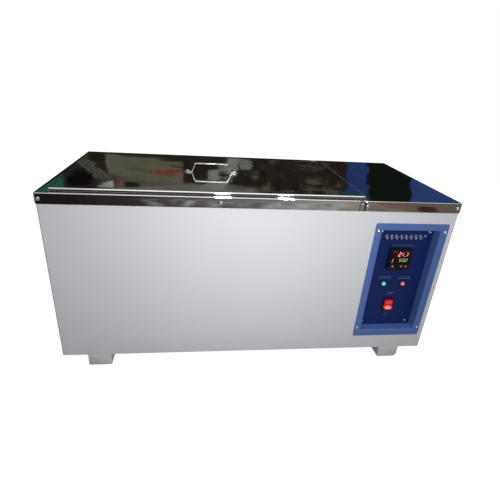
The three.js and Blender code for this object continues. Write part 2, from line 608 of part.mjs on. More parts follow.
{
    const sheet = prismY(roundedShape(PLATE_X0 + GAP, PLATE_X1 - GAP, PLATE_Z0 + GAP, PLATE_Z1 - GAP, 2),
        PLATE_Y, PLATE_Y + PLATE_T);
    const half = CONTROLLER_CASE / 2 + GAP;
    const controllerWay = block(CONTROLLER_X - half, CONTROLLER_X + half, PLATE_Y - 2, PLATE_Y + 4,
        CONTROLLER_Z - half, CONTROLLER_Z + half);
    const lampWays = [-1, 1].map((side) => rod(LAMP_LENS_R + LAMP_WALL + 2 * GAP, 'y',
        PLATE_Y - 2, PLATE_Y + 4, PANEL_MID_X + side * LAMP_PITCH / 2, LAMP_Z, 12));
    const rockerWay = block(ROCKER_X - ROCKER_FRAME_W / 2 + 1.4, ROCKER_X + ROCKER_FRAME_W / 2 - 1.4,
        PLATE_Y - 2, PLATE_Y + 4,
        ROCKER_Z - ROCKER_FRAME_H / 2 + 1.6, ROCKER_Z + ROCKER_FRAME_H / 2 - 1.6);
    add('control_plate', cut(sheet, controllerWay, ...lampWays, rockerWay, ...plateScrewHoles()),
        LOOKS.navyPaint);
}

for (const [name, [x, z]] of Object.entries(PANEL_SCREWS)) {
    const profile = screw(PANEL_SCREW.headR, PANEL_SCREW.headH, PANEL_SCREW.shankR, PANEL_SCREW.length);
    add(name, turned(profile, 'y', x, FRAME_Y - GAP, z), LOOKS.chrome);
}

for (const [name, [x, z]] of Object.entries(plateScrewPlaces())) {
    add(name, turned(screw(2.8, 1.6, 1.5, 6), 'y', x, PLATE_Y - GAP, z), LOOKS.chrome);
}

// ------------------------------------------------------------------ temperature controller

const FACE_Y = PLATE_Y - CONTROLLER_PROUD;
const KEY_Z = CONTROLLER_Z - 15;
const WINDOW = { halfW: 21.6, z0: CONTROLLER_Z - 9.5, z1: CONTROLLER_Z + 20.6, t: 1.6 };

{
    const half = CONTROLLER / 2;
    const front = prismY(
        roundedShape(CONTROLLER_X - half, CONTROLLER_X + half, CONTROLLER_Z - half, CONTROLLER_Z + half, 2),
        FACE_Y, PLATE_Y - GAP);
    const windowSeat = block(CONTROLLER_X - WINDOW.halfW - GAP, CONTROLLER_X + WINDOW.halfW + GAP,
        FACE_Y - 1, FACE_Y + WINDOW.t + 2 * GAP, WINDOW.z0 - GAP, WINDOW.z1 + GAP);
    const keyWays = Object.values(KEY_PLACES).map((offset) => rod(KEY_R + GAP, 'y', FACE_Y - 1, PLATE_Y + 1,
        CONTROLLER_X + offset, KEY_Z, 12));
    const back = block(CONTROLLER_X - half + 3, CONTROLLER_X + half - 3, FACE_Y + 5.5, PLATE_Y + 1,
        CONTROLLER_Z - half + 3, CONTROLLER_Z + half - 3);
    add('controller_front', cut(front, windowSeat, ...keyWays, back), LOOKS.blackPlastic);
    const windowY = FACE_Y + 0.25;
    add('controller_window', block(CONTROLLER_X - WINDOW.halfW, CONTROLLER_X + WINDOW.halfW,
        windowY, windowY + WINDOW.t, WINDOW.z0, WINDOW.z1), LOOKS.darkGlass);
    for (const [name, offset] of Object.entries(KEY_PLACES)) {
        const key = [[0, -0.9], [KEY_R * 0.8, -0.9], [KEY_R, -0.5], [KEY_R, 4], [0, 4]];
        add(name, turned(key, 'y', CONTROLLER_X + offset, FACE_Y, KEY_Z), LOOKS.greyPlastic);
    }
}

{
    const half = CONTROLLER_CASE / 2;
    const y0 = PLATE_Y + GAP;
    const y1 = y0 + CONTROLLER_CASE_D;
    const wall = 2;
    const shell = block(CONTROLLER_X - half, CONTROLLER_X + half, y0, y1,
        CONTROLLER_Z - half, CONTROLLER_Z + half);
    const hollow = block(CONTROLLER_X - half + wall, CONTROLLER_X + half - wall, y0 - 1, y1 - 6,
        CONTROLLER_Z - half + wall, CONTROLLER_Z + half - wall);
    add('controller_case', cut(shell, hollow), LOOKS.blackPlastic);
    const board = half - wall - 1;
    add('controller_board', block(CONTROLLER_X - board, CONTROLLER_X + board, y0 + 1, y1 - 10,
        CONTROLLER_Z - 0.8, CONTROLLER_Z + 0.8), LOOKS.whitePlastic);
    const bracketY = PLATE_Y + PLATE_T + GAP;
    const reach = half + GAP;
    const bracket = block(CONTROLLER_X - reach - 4, CONTROLLER_X + reach + 4, bracketY, bracketY + 14,
        CONTROLLER_Z - reach - 4, CONTROLLER_Z + reach + 4);
    const way = block(CONTROLLER_X - reach, CONTROLLER_X + reach, bracketY - 1, bracketY + 15,
        CONTROLLER_Z - reach, CONTROLLER_Z + reach);
    add('controller_bracket', cut(bracket, way), LOOKS.galvanised);
}

// ------------------------------------------------------------------ lamps and power rocker

for (const [colour, side] of [['green', -1], ['red', 1]]) {
    const x = PANEL_MID_X + side * LAMP_PITCH / 2;
    const bore = LAMP_LENS_R + GAP;
    const barrel = bore + LAMP_WALL;
    const body = [[bore, -2.4], [LAMP_R - 0.8, -2.4], [LAMP_R, -1.4], [LAMP_R, -GAP], [barrel, -GAP],
        [barrel, 22], [bore, 22], [bore, -2.4]];
    add(`${colour}_lamp_body`, turned(body, 'y', x, PLATE_Y, LAMP_Z, 16), LOOKS.blackPlastic);
    const r = LAMP_LENS_R;
    const lens = [[0, -5.2], [r * 0.5, -4.9], [r * 0.85, -4], [r, -2.6], [r, 12], [0, 12]];
    add(`${colour}_lamp_lens`, turned(lens, 'y', x, PLATE_Y, LAMP_Z, 16),
        colour === 'green' ? LOOKS.greenLens : LOOKS.redLens);
}

const ROCKER_PIVOT_Y = PLATE_Y - 0.6;
const ROCKER_HALF_H = 11.8;
{
    const frameProud = 2.6;
    const wayW = ROCKER_W / 2 + 0.5;
    const wayH = ROCKER_HALF_H + 1;
    const frame = prismY(
        roundedShape(ROCKER_X - ROCKER_FRAME_W / 2, ROCKER_X + ROCKER_FRAME_W / 2,
            ROCKER_Z - ROCKER_FRAME_H / 2, ROCKER_Z + ROCKER_FRAME_H / 2, 1.6),
        PLATE_Y - frameProud, PLATE_Y - GAP);
    const body = block(ROCKER_X - ROCKER_FRAME_W / 2 + 1.8, ROCKER_X + ROCKER_FRAME_W / 2 - 1.8,
        PLATE_Y - 1, PLATE_Y + 24, ROCKER_Z - ROCKER_FRAME_H / 2 + 2, ROCKER_Z + ROCKER_FRAME_H / 2 - 2);
    const well = block(ROCKER_X - wayW, ROCKER_X + wayW, PLATE_Y - 5, PLATE_Y + 13,
        ROCKER_Z - wayH, ROCKER_Z + wayH);
    add('rocker_frame', cut(join(frame, body), well), LOOKS.blackPlastic);
    const profile = polygon([[-5, -ROCKER_HALF_H], [-3.2, 0], [-5, ROCKER_HALF_H], [5, ROCKER_HALF_H - 2.5],
        [9, 3], [9, -3], [5, -ROCKER_HALF_H + 2.5]]);
    const rocker = add('power_rocker', prismX(profile, -ROCKER_W / 2, ROCKER_W / 2), LOOKS.rockerRed);
    rocker.position.set(ROCKER_X, ROCKER_PIVOT_Y, ROCKER_Z);
    rocker.rotation.x = THREE.MathUtils.degToRad(-ROCKER_TILT);
}

// ------------------------------------------------------------------ heater, tray and probe

{
    const y0 = TANK_MID_Y - HEATER_BEND_R;
    const y1 = TANK_MID_Y + HEATER_BEND_R;
    const start = TANK_X1 + SHEET + 18;
    const bendX = TANK_X1 - HEATER_REACH;
    const path = new THREE.CurvePath();
    const at = (x, y) => new THREE.Vector3(x, y, HEATER_Z);
    path.add(new THREE.LineCurve3(at(start, y0), at(bendX, y0)));
    const quarter = HEATER_BEND_R * 0.5523;
    path.add(new THREE.CubicBezierCurve3(at(bendX, y0), at(bendX - quarter, y0),
        at(bendX - HEATER_BEND_R, TANK_MID_Y - quarter), at(bendX - HEATER_BEND_R, TANK_MID_Y)));
    path.add(new THREE.CubicBezierCurve3(at(bendX - HEATER_BEND_R, TANK_MID_Y),
        at(bendX - HEATER_BEND_R, TANK_MID_Y + quarter), at(bendX - quarter, y1), at(bendX, y1)));
    path.add(new THREE.LineCurve3(at(bendX, y1), at(start, y1)));
    const section = new THREE.Shape();
    section.absarc(0, 0, HEATER_R, 0, Math.PI * 2);
    const tube = new THREE.ExtrudeGeometry(section, { steps: 44, extrudePath: path, curveSegments: 4 });
    add('heater_element', tube, LOOKS.satinSteel);
    const plate = prismX(roundedShape(TANK_MID_Y - HEATER_PLATE.halfW, TANK_MID_Y + HEATER_PLATE.halfW,
        HEATER_Z - HEATER_PLATE.halfH, HEATER_Z + HEATER_PLATE.halfH, 6),
    TANK_X1 + SHEET + GAP, TANK_X1 + SHEET + GAP + HEATER_PLATE.t);
    add('heater_flange', cut(plate, ...heaterHoles), LOOKS.brass);
}

// The tray is a flat perforated sheet on a stand of two upright strips, joined by a low bar at each end.
{
    const x0 = TANK_X0 + TRAY_END_GAP;
    const x1 = TANK_X1 - TRAY_END_GAP;
    const y0 = TANK_Y0 + TANK_FLOOR_R;
    const y1 = TANK_Y1 - TANK_FLOOR_R;
    const z1 = TANK_Z0 + TRAY_RISE;
    const z0 = z1 - TRAY_T;
    const holes = [];
    const across = Math.floor((x1 - x0 - 2 * TRAY_RIM) / TRAY_PITCH);
    const deep = Math.floor((y1 - y0 - 2 * TRAY_RIM) / TRAY_PITCH);
    for (let i = 0; i <= across; i += 1) {
        for (let j = 0; j <= deep; j += 1) {
            const x = (x0 + x1) / 2 + (i - across / 2) * TRAY_PITCH;
            const y = (y0 + y1) / 2 + (j - deep / 2) * TRAY_PITCH;
            holes.push(rod(TRAY_HOLE_R, 'z', z0 - 5, z1 + 5, x, y, 8));
        }
    }
    add('diffuser_tray', cut(block(x0, x1, y0, y1, z0, z1), ...holes), LOOKS.satinSteel);

    const front = y0 + STAND_INSET;
    const back = y1 - STAND_INSET;
    const low = TANK_Z0 + GAP;
    const strips = [front, back - TRAY_T].map((y) => block(x0, x1, y, y + TRAY_T, low, z0 - GAP));
    const bars = [x0, x1 - STAND_BAR]
        .map((x) => block(x, x + STAND_BAR, front, back, low, low + STAND_BAR));
    add('tray_stand', join(...strips, ...bars), LOOKS.satinSteel);
}

// The probe's sheath has a hexagonal screw fitting of its own.
{
    const x1 = TANK_X1 + SHEET + 22;
    const tip = [[0, TANK_X1 - PROBE_LENGTH], [PROBE_R * 0.7, TANK_X1 - PROBE_LENGTH + 0.8],
        [PROBE_R, TANK_X1 - PROBE_LENGTH + 2.5], [PROBE_R, x1], [0, x1]];
    const fittingX = TANK_X1 + SHEET + GAP;
    const fitting = rod(PROBE_FITTING_R, 'x', fittingX, fittingX + 12, PROBE_Y, PROBE_Z, 6);
    add('temperature_probe', join(turned(tip, 'x', 0, PROBE_Y, PROBE_Z), fitting), LOOKS.satinSteel);
}

// ------------------------------------------------------------------ power parts in the compartment

{
    const x0 = BULKHEAD_X + SHEET + GAP;
    const z0 = CASE_Z0 + 150;
    const y0 = TANK_MID_Y + 10;
    const w = 80;
    const h = 90;
    const base = block(x0, x0 + 6, y0, y0 + w, z0, z0 + h);
    const fins = [];
    for (let i = 0; i < 7; i += 1) {
        const y = y0 + 2 + i * 12.33;
        fins.push(block(x0 + 5, x0 + 28, y, y + 2, z0, z0 + h));
    }
    add('heat_sink', join(base, ...fins), LOOKS.galvanised);
    const relayX = x0 + 28 + GAP;
    const relay = block(relayX, relayX + 22, y0 + 18, y0 + 62, z0 + 16, z0 + 74);
    add('solid_state_relay', relay, LOOKS.whitePlastic);
}

{
    const z0 = BULKHEAD_Z0;
    const x0 = BULKHEAD_X + 45;
    const y0 = TANK_MID_Y + 60;
    const base = block(x0, x0 + 90, y0, y0 + 26, z0, z0 + 20);
    const ways = [];
    for (let i = 0; i < 6; i += 1) {
        ways.push(block(x0 + 4 + i * 14.2, x0 + 15 + i * 14.2, y0 - 1, y0 + 27, z0 + 12, z0 + 21));
    }
    add('terminal_block', cut(base, ...ways), LOOKS.whitePlastic);
}

// ------------------------------------------------------------------ drain, valve and cable gland

{
    const top = TANK_Z0 - SHEET - GAP;
    const path = new THREE.CurvePath();
    const at = (y, z) => new THREE.Vector3(DRAIN_X, y, z);
    path.add(new THREE.LineCurve3(at(DRAIN_Y, top), at(DRAIN_Y, DRAIN_Z + DRAIN_BEND_R)));
    path.add(new THREE.QuadraticBezierCurve3(at(DRAIN_Y, DRAIN_Z + DRAIN_BEND_R), at(DRAIN_Y, DRAIN_Z),
        at(DRAIN_Y + DRAIN_BEND_R, DRAIN_Z)));
    path.add(new THREE.LineCurve3(at(DRAIN_Y + DRAIN_BEND_R, DRAIN_Z), at(VALVE_Y + 10, DRAIN_Z)));
    const section = new THREE.Shape();
    section.absarc(0, 0, DRAIN_R, 0, Math.PI * 2);
    const bore = new THREE.Path();
    bore.absarc(0, 0, DRAIN_BORE_R, 0, Math.PI * 2);
    section.holes.push(bore);
    const pipe = new THREE.ExtrudeGeometry(section, { steps: 14, extrudePath: path, curveSegments: 5 });
    add('drain_pipe', pipe, LOOKS.satinSteel);
}

const BALL_R = 11;
const STEM_R = 3.5;
const STEM_Z1 = DRAIN_Z + 24;
{
    const socketR = DRAIN_R + 4.5;
    const outer = [[0, VALVE_Y], [socketR, VALVE_Y], [socketR, VALVE_Y + 12], [socketR + 1, STEM_Y - 11],
        [socketR + 1, STEM_Y + 11], [11, STEM_Y + 17], [8.5, VALVE_END - 14], [9.8, VALVE_END - 9],
        [8.5, VALVE_END - 8], [9.8, VALVE_END - 3], [7.6, VALVE_END], [0, VALVE_END]];
    const neck = rod(7, 'z', DRAIN_Z, DRAIN_Z + socketR + 4, DRAIN_X, STEM_Y, 12);
    const socket = rod(DRAIN_R + GAP, 'y', VALVE_Y - 1, VALVE_Y + 10.5, DRAIN_X, DRAIN_Z, 16);
    const way = rod(DRAIN_BORE_R - 2, 'y', VALVE_Y + 5, VALVE_END + 1, DRAIN_X, DRAIN_Z, 12);
    const seat = new THREE.SphereGeometry(BALL_R + GAP * 2, 14, 10);
    seat.rotateX(Math.PI / 2).translate(DRAIN_X, STEM_Y, DRAIN_Z);
    const stemWay = rod(STEM_R + GAP, 'z', DRAIN_Z, STEM_Z1 + 5, DRAIN_X, STEM_Y, 12);
    const casting = join(turned(outer, 'y', DRAIN_X, 0, DRAIN_Z, 16), neck);
    add('valve_body', cut(casting, socket, way, seat, stemWay), LOOKS.chrome);

    const ball = new THREE.SphereGeometry(BALL_R, 14, 10);
    ball.rotateX(Math.PI / 2).translate(DRAIN_X, STEM_Y, DRAIN_Z);
    const stem = rod(STEM_R, 'z', DRAIN_Z, STEM_Z1 + 7, DRAIN_X, STEM_Y, 12);
    const ballWay = rod(DRAIN_BORE_R - 2, 'x', DRAIN_X - 20, DRAIN_X + 20, STEM_Y, DRAIN_Z, 12);
    add('valve_ball', cut(join(ball, stem), ballWay), LOOKS.satinSteel);

    const leverZ = DRAIN_Z + socketR + 4 + GAP * 2;
    const outline = roundedShape(DRAIN_X - 9, DRAIN_X + LEVER_L, STEM_Y - 8, STEM_Y + 8, 7);
    const leverWay = rod(STEM_R + GAP, 'z', leverZ - 2, leverZ + 5, DRAIN_X, STEM_Y, 12);
    add('valve_lever', cut(prismZ(outline, leverZ, leverZ + 2.5), leverWay), LOOKS.leverBlue);
    const nutZ = leverZ + 2.5 + GAP;
    const nut = cut(rod(6, 'z', nutZ, nutZ + 3.4, DRAIN_X, STEM_Y, 6),
        rod(STEM_R + GAP, 'z', nutZ - 1, nutZ + 5, DRAIN_X, STEM_Y, 12));
    add('lever_nut', nut, LOOKS.galvanised);
}

{
    const bore = GLAND_R * 0.45;
    const barrel = GLAND_R * 0.75;
    const body = [[bore, -14], [barrel, -14], [barrel, GAP], [GLAND_R + 2, GAP], [GLAND_R + 2, 6],
        [GLAND_R, 7], [GLAND_R, 14], [GLAND_R * 0.8, 18], [bore, 19], [bore, -14]];
    add('cable_gland', turned(body, 'y', GLAND_X, CASE_Y, GLAND_Z, 12), LOOKS.blackPlastic);
}

// ------------------------------------------------------------------ origin

// The outline runs from the heads of the band screws to the end of the drain valve.
const FOREMOST = FRONT - GAP - BAND_SCREW_HEAD;
bath.position.y = -(FOREMOST + VALVE_END) / 2;

export default bath;
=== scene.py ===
"""Looks of a rectangular laboratory water bath: a mirror-polished deck and lid over a painted casing.

Lengths are in metres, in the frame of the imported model: +X to the right, +Y to the back, +Z up.
"""

import math

import bmesh
import bpy
import numpy as np
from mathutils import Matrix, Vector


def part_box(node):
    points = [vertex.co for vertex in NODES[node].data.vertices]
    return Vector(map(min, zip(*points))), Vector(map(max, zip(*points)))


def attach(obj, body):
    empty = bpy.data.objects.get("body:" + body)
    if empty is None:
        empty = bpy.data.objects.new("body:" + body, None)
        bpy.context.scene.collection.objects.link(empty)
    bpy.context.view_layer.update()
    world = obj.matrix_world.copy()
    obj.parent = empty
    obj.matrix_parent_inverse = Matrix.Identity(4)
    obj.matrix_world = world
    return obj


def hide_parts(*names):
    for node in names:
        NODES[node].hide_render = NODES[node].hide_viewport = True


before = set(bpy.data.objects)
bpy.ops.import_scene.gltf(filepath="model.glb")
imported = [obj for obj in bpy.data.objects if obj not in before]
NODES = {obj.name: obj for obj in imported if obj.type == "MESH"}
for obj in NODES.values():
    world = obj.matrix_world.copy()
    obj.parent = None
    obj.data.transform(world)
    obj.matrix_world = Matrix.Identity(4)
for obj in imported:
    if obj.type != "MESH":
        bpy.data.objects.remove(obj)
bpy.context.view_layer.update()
MM = 0.001

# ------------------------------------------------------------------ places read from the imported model

DECK_LO, DECK_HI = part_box("tank_surround")
COVER_LO, COVER_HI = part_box("compartment_cover")
LID_LO, LID_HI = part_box("lid")
PANEL_LO, PANEL_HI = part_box("control_frame")
FACE_LO, FACE_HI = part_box("controller_front")
WINDOW_LO, WINDOW_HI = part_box("controller_window")
ROCKER_LO, ROCKER_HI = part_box("rocker_frame")
HANDLE_LO, HANDLE_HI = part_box("lid_handle")
SHEET = 1.2 * MM             # thickness of every pressed sheet
DECK_Z = COVER_HI.z
COLLAR_H = DECK_HI.z - DECK_Z
COLLAR_INSET = 16.8 * MM     # from the lid's outline to the collar's
OPENING = (LID_LO.x + COLLAR_INSET, LID_HI.x - COLLAR_INSET, LID_LO.y + COLLAR_INSET,
           LID_HI.y - COLLAR_INSET)
PLATE_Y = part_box("control_plate")[0].y
FRAME_Y = PANEL_LO.y
FACE_Y = FACE_LO.y
BACK_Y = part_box("rear_cover")[1].y


def middle(node):
    low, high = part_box(node)
    return np.array((low + high) / 2)


# ------------------------------------------------------------------ viewpoint

def set_viewpoint():
    lens = bpy.data.cameras.new("viewpoint")
    lens.lens = 27.468
    lens.sensor_width = 36.0
    lens.clip_start = 0.01
    stand = bpy.data.objects.new("viewpoint", lens)
    stand.location = (-0.11665, -0.87933, 0.58872)
    stand.rotation_euler = [math.radians(a) for a in (65.006, -3.624, -6.656)]
    bpy.context.collection.objects.link(stand)
    bpy.context.scene.camera = stand


set_viewpoint()


# ------------------------------------------------------------------ shader maths

class Wire:
    """One value in a node sheet. Arithmetic on it adds Math nodes to the same sheet."""

    def __init__(self, sheet, socket):
        self.sheet = sheet
        self.socket = socket

    def __add__(self, other):
        return self.sheet.math("ADD", self, other)

    def __sub__(self, other):
        return self.sheet.math("SUBTRACT", self, other)

    def __rsub__(self, other):
        return self.sheet.math("SUBTRACT", other, self)

    def __mul__(self, other):
        return self.sheet.math("MULTIPLY", self, other)

    def __truediv__(self, other):
        return self.sheet.math("DIVIDE", self, other)

    def __pow__(self, other):
        return self.sheet.math("POWER", self, other)

    def __neg__(self):
        return self.sheet.math("MULTIPLY", self, -1.0)

    __radd__ = __add__
    __rmul__ = __mul__


class Sheet:
    """A node tree that is written as expressions."""

    def __init__(self, tree):
        self.tree = tree
        tree.nodes.clear()

    def node(self, kind, settings=None, values=None, output=0):
        """Adds one node: its settings first, then the value or link of each socket."""
        made = self.tree.nodes.new(kind)
        for name, value in (settings or {}).items():
            if name == "stops":
                elements = made.color_ramp.elements
                elements.remove(elements[1])
                elements[0].position, elements[0].color = value[0][0], (*value[0][1], 1)
                for place, colour in value[1:]:
                    elements.new(place).color = (*colour, 1)
            else:
                setattr(made, name, value)
        for name, value in (values or {}).items():
            if isinstance(value, Wire):
                self.tree.links.new(value.socket, made.inputs[name])
            else:
                made.inputs[name].default_value = value
        return Wire(self, made.outputs[output])

    def math(self, operation, *values, clamp=False):
        return self.node("ShaderNodeMath", {"operation": operation, "use_clamp": clamp},
                         dict(enumerate(values)))

    def clamp(self, value):
        return self.math("ADD", value, 0.0, clamp=True)

    def split(self, vector):
        return [self.node("ShaderNodeSeparateXYZ", {}, {0: vector}, output=i) for i in range(3)]

    def mix(self, share, below, above):
        """The colour below where share is 0 and the colour above where it is 1."""
        pads = [c if isinstance(c, Wire) else (*c, 1) for c in (below, above)]
        return self.node("ShaderNodeMix", {"data_type": "RGBA"}, {0: share, 6: pads[0], 7: pads[1]}, 2)

    def ramp(self, value, stops):
        return self.node("ShaderNodeValToRGB", {"stops": stops}, {0: value})

    def inside(self, value, low, high, soft):
        """1 where value lies between low and high, falling to 0 over the width soft."""
        rising = self.clamp((value - low) / soft + 0.5)
        falling = self.clamp((high - value) / soft + 0.5)
        return rising * falling

    def blob(self, u, v, centre, reach, soft=0.4, lean=0.0):
        """1 within the ellipse ((u - cu) / ru)^2 + ((v - cv - lean (u - cu)) / rv)^2 = 1, with a rim
        as soft as the width soft."""
        across = (u - centre[0]) / reach[0]
        up = (v - centre[1] - (u - centre[0]) * lean) / reach[1]
        return self.clamp((1.0 - (across * across + up * up) ** 0.5) / soft + 0.5)

    def cloud(self, place, scale, stretch=(1, 1, 1), detail=2.0, shift=(0, 0, 0), rough=0.5):
        """Soft noise from 0 to 1, most of it between 0.3 and 0.7."""
        moved = self.node("ShaderNodeMapping", {},
                          {"Vector": place, "Scale": stretch, "Location": shift})
        return self.node("ShaderNodeTexNoise", {},
                         {"Vector": moved, "Scale": scale, "Detail": detail, "Roughness": rough})


class Finish(Sheet):
    """A material. Values that are the same all over are set on the shader's own sockets."""

    def __init__(self, name, **even):
        self.material = bpy.data.materials.new(name)
        self.material.use_nodes = True
        super().__init__(self.material.node_tree)
        self.shader = self.tree.nodes.new("ShaderNodeBsdfPrincipled")
        end = self.tree.nodes.new("ShaderNodeOutputMaterial")
        self.tree.links.new(self.shader.outputs[0], end.inputs[0])
        for name, value in even.items():
            self.shader.inputs[name.replace("_", " ")].default_value = value
        self.place = self.node("ShaderNodeTexCoord", output="Object")

    def feed(self, name, wire):
        self.tree.links.new(wire.socket, self.shader.inputs[name])
        return self

    def bump(self, height, depth):
        """Bump whose full height, 0 to 1, is depth metres."""
        relief = self.node("ShaderNodeBump", {}, {"Height": height, "Distance": depth})
        return self.feed("Normal", relief)


def tinted(colour, amount):
    return tuple(min(1.0, c * amount) for c in colour)


# ------------------------------------------------------------------ finishes

def polished_steel():
    """Mirror-polished stainless sheet: faint polishing lines, handling smears and a slow ripple."""
    f = Finish("mirror_steel", Metallic=1.0)
    smear = f.cloud(f.place, 9.0, (1, 1.6, 1), 4.0)
    lines = f.cloud(f.place, 60.0, (1, 28, 28), 2.0)
    f.feed("Base Color", f.mix(smear, (0.70, 0.70, 0.68), (0.82, 0.82, 0.80)))
    f.feed("Roughness", smear * 0.03 + lines * 0.02 + 0.012)
    ripple = f.cloud(f.place, 7.5, (1, 1.7, 1), 1.0)
    fine = f.cloud(f.place, 38.0, (1, 2.2, 1), 1.0, (3, 1, 0))
    f.bump(ripple + fine * 0.04, 0.00035)
    return f.material


def satin_steel():
    """Brushed stainless: fine lines along X, patchy sheen and a few water marks."""
    f = Finish("satin_steel", Metallic=1.0)
    lines = f.cloud(f.place, 90.0, (1, 30, 30), 3.0)
    patch = f.cloud(f.place, 14.0, detail=3.0)
    f.feed("Base Color", f.mix(patch, (0.45, 0.46, 0.46), (0.64, 0.65, 0.65)))
    f.feed("Roughness", lines * 0.16 + patch * 0.1 + 0.14)
    f.bump(lines, 0.00003)
    return f.material


def chrome():
    """Bright plating with a fine haze."""
    f = Finish("chrome_trim", Metallic=1.0)
    haze = f.cloud(f.place, 120.0, detail=3.0)
    f.feed("Base Color", f.mix(haze, (0.78, 0.78, 0.77), (0.92, 0.92, 0.91)))
    f.feed("Roughness", haze * 0.14 + 0.10)
    f.bump(haze, 0.00002)
    return f.material


def zinc_plate():
    """Bright zinc on fasteners: a soft sheen that differs a little from spot to spot."""
    f = Finish("screw_zinc", Metallic=1.0)
    sheen = f.cloud(f.place, 260.0, detail=2.0)
    f.feed("Base Color", f.mix(sheen, (0.84, 0.85, 0.86), (0.97, 0.97, 0.97)))
    f.feed("Roughness", sheen * 0.16 + 0.16)
    f.bump(sheen, 0.00002)
    return f.material


def powder_coat(name, dark, light, peel=0.00006, rough=0.33, low_darkening=0.0, gloss=0.0):
    """Baked powder coat: orange-peel bump, slight cloudiness, and darker patches low down."""
    f = Finish(name, Specular_IOR_Level=0.4, Coat_Weight=gloss, Coat_Roughness=0.12)
    drift = f.cloud(f.place, 5.0, detail=3.0)
    tooth = f.cloud(f.place, 520.0, detail=1.5)
    colour = f.mix(drift, dark, light)
    if low_darkening:
        # darker in noise patches, strongest at the casing's bottom edge and gone 5 cm above it
        low = f.clamp(1.0 - (f.split(f.place)[2] - 0.028) / 0.05)
        low_patches = f.cloud(f.place, 24.0, (1, 1, 0.4), 4.0)
        colour = f.mix(low * low_patches * low_darkening, colour, tinted(dark, 0.55))
    f.feed("Base Color", colour)
    f.feed("Roughness", tooth * 0.16 + drift * 0.08 + rough)
    f.bump(tooth, peel)
    return f.material


def galvanised():
    """Zinc spangle: cells of slightly different grey."""
    f = Finish("galvanised", Metallic=0.85)
    cell = f.node("ShaderNodeTexVoronoi", {}, {"Vector": f.place, "Scale": 110.0}, "Color")
    share = f.split(cell)[0]
    f.feed("Base Color", f.mix(share, (0.42, 0.44, 0.45), (0.66, 0.67, 0.68)))
    f.feed("Roughness", share * 0.22 + 0.33)
    f.bump(share, 0.00002)
    return f.material


def mineral_wool():
    """Loose fibres that lie in layers."""
    f = Finish("mineral_wool", Roughness=0.95)
    fibre = f.cloud(f.place, 160.0, (1, 1, 5), 5.0, rough=0.7)
    f.feed("Base Color", f.mix(fibre, (0.48, 0.38, 0.16), (0.82, 0.74, 0.48)))
    f.bump(fibre, 0.0012)
    return f.material


def brass():
    """Turned brass, tarnished in patches."""
    f = Finish("brass", Metallic=1.0)
    tarnish = f.cloud(f.place, 45.0, detail=4.0)
    f.feed("Base Color", f.mix(tarnish, (0.46, 0.31, 0.12), (0.78, 0.62, 0.30)))
    f.feed("Roughness", tarnish * 0.25 + 0.18)
    f.bump(tarnish, 0.00003)
    return f.material


def moulded(name, dark, light, rough=0.34):
    """Moulded plastic with a fine spark-eroded texture and a little handling shine."""
    f = Finish(name, Specular_IOR_Level=0.3)
    tooth = f.cloud(f.place, 900.0, detail=1.0)
    shine = f.cloud(f.place, 40.0, detail=3.0)
    f.feed("Base Color", f.mix(shine, dark, light))
    f.feed("Roughness", tooth * 0.12 + shine * 0.12 + rough)
    f.bump(tooth, 0.00003)
    return f.material


def tinted_window():
    """Dark acrylic: near black, with a faint red painted glow round the lit digits, laid into the base
    colour where their light spills into it.
    """
    f = Finish("display_window", Coat_Roughness=0.04)
    x, _, z = f.split(f.place)
    mid = (WINDOW_LO + WINDOW_HI) / 2
    # painted glow: the digits' light painted into the window's colour as a red patch round them
    painted_digit_glow = f.blob(x, z, (mid.x + 4 * MM, mid.z + 4 * MM), (17 * MM, 9 * MM), 0.9)
    dust = f.cloud(f.place, 420.0, detail=3.0)
    f.feed("Base Color", f.mix(painted_digit_glow * 0.7, (0.004, 0.003, 0.003), (0.05, 0.006, 0.008)))
    f.feed("Roughness", dust * 0.14 + 0.06)
    f.bump(dust, 0.00001)
    return f.material


def lit_lens(name, rim, core, centre, reach, power):
    """A lit lens: the core's colour at the lamp's axis, falling to the rim's, with a ribbed face."""
    f = Finish(name, Emission_Strength=power, Coat_Weight=0.6, Coat_Roughness=0.05)
    x, _, z = f.split(f.place)
    glow = f.blob(x, z, centre, (reach, reach), 1.1)
    ribs = f.math("SINE", x * 4200.0) * f.math("SINE", z * 4200.0)
    colour = f.mix(glow, rim, core)
    f.feed("Base Color", colour)
    f.feed("Emission Color", colour)
    f.feed("Roughness", f.cloud(f.place, 600.0) * 0.1 + 0.12)
    f.bump(ribs * 0.5 + 0.5, 0.00012)
    return f.material


def lit_rocker():
    """Translucent red, glowing from inside: dim near the pivot line, with a pinkish painted highlight in
    the middle of its lower half, where that facet faces the light from above.
    """
    f = Finish("rocker_red", Emission_Strength=1.0, Coat_Weight=0.5, Coat_Roughness=0.06)
    x, _, z = f.split(f.place)
    cx, cz = (ROCKER_LO.x + ROCKER_HI.x) / 2, (ROCKER_LO.z + ROCKER_HI.z) / 2
    # low: the pinkish painted highlight on the lower facet; high: the glow of the upper half
    low = f.blob(x, z, (cx - 1 * MM, cz - 6.0 * MM), (6.0 * MM, 3.0 * MM), 1.4)
    high = f.blob(x, z, (cx + 1 * MM, cz + 5.4 * MM), (6.4 * MM, 2.2 * MM), 1.4)
    grain = f.cloud(f.place, 300.0, detail=2.0)
    body = f.mix(grain, (0.45, 0.004, 0.010), (0.66, 0.012, 0.022))
    lit = f.mix(high, f.mix(grain, (0.10, 0.001, 0.003), (0.17, 0.003, 0.006)), (0.62, 0.055, 0.075))
    # the painted highlight laid over the glow of the lower half
    lit = f.mix(low, lit, (0.90, 0.36, 0.36))
    f.feed("Base Color", body)
    f.feed("Emission Color", lit)
    f.feed("Roughness", grain * 0.14 + 0.14)
    f.bump(grain, 0.00002)
    return f.material


def glowing(name, dark, light, power):
    """Lit bars behind the window: a little uneven along their length."""
    f = Finish(name, Emission_Strength=power, Roughness=0.4)
    uneven = f.cloud(f.place, 700.0, detail=1.0)
    colour = f.mix(uneven, dark, light)
    f.feed("Base Color", colour)
    f.feed("Emission Color", colour)
    return f.material


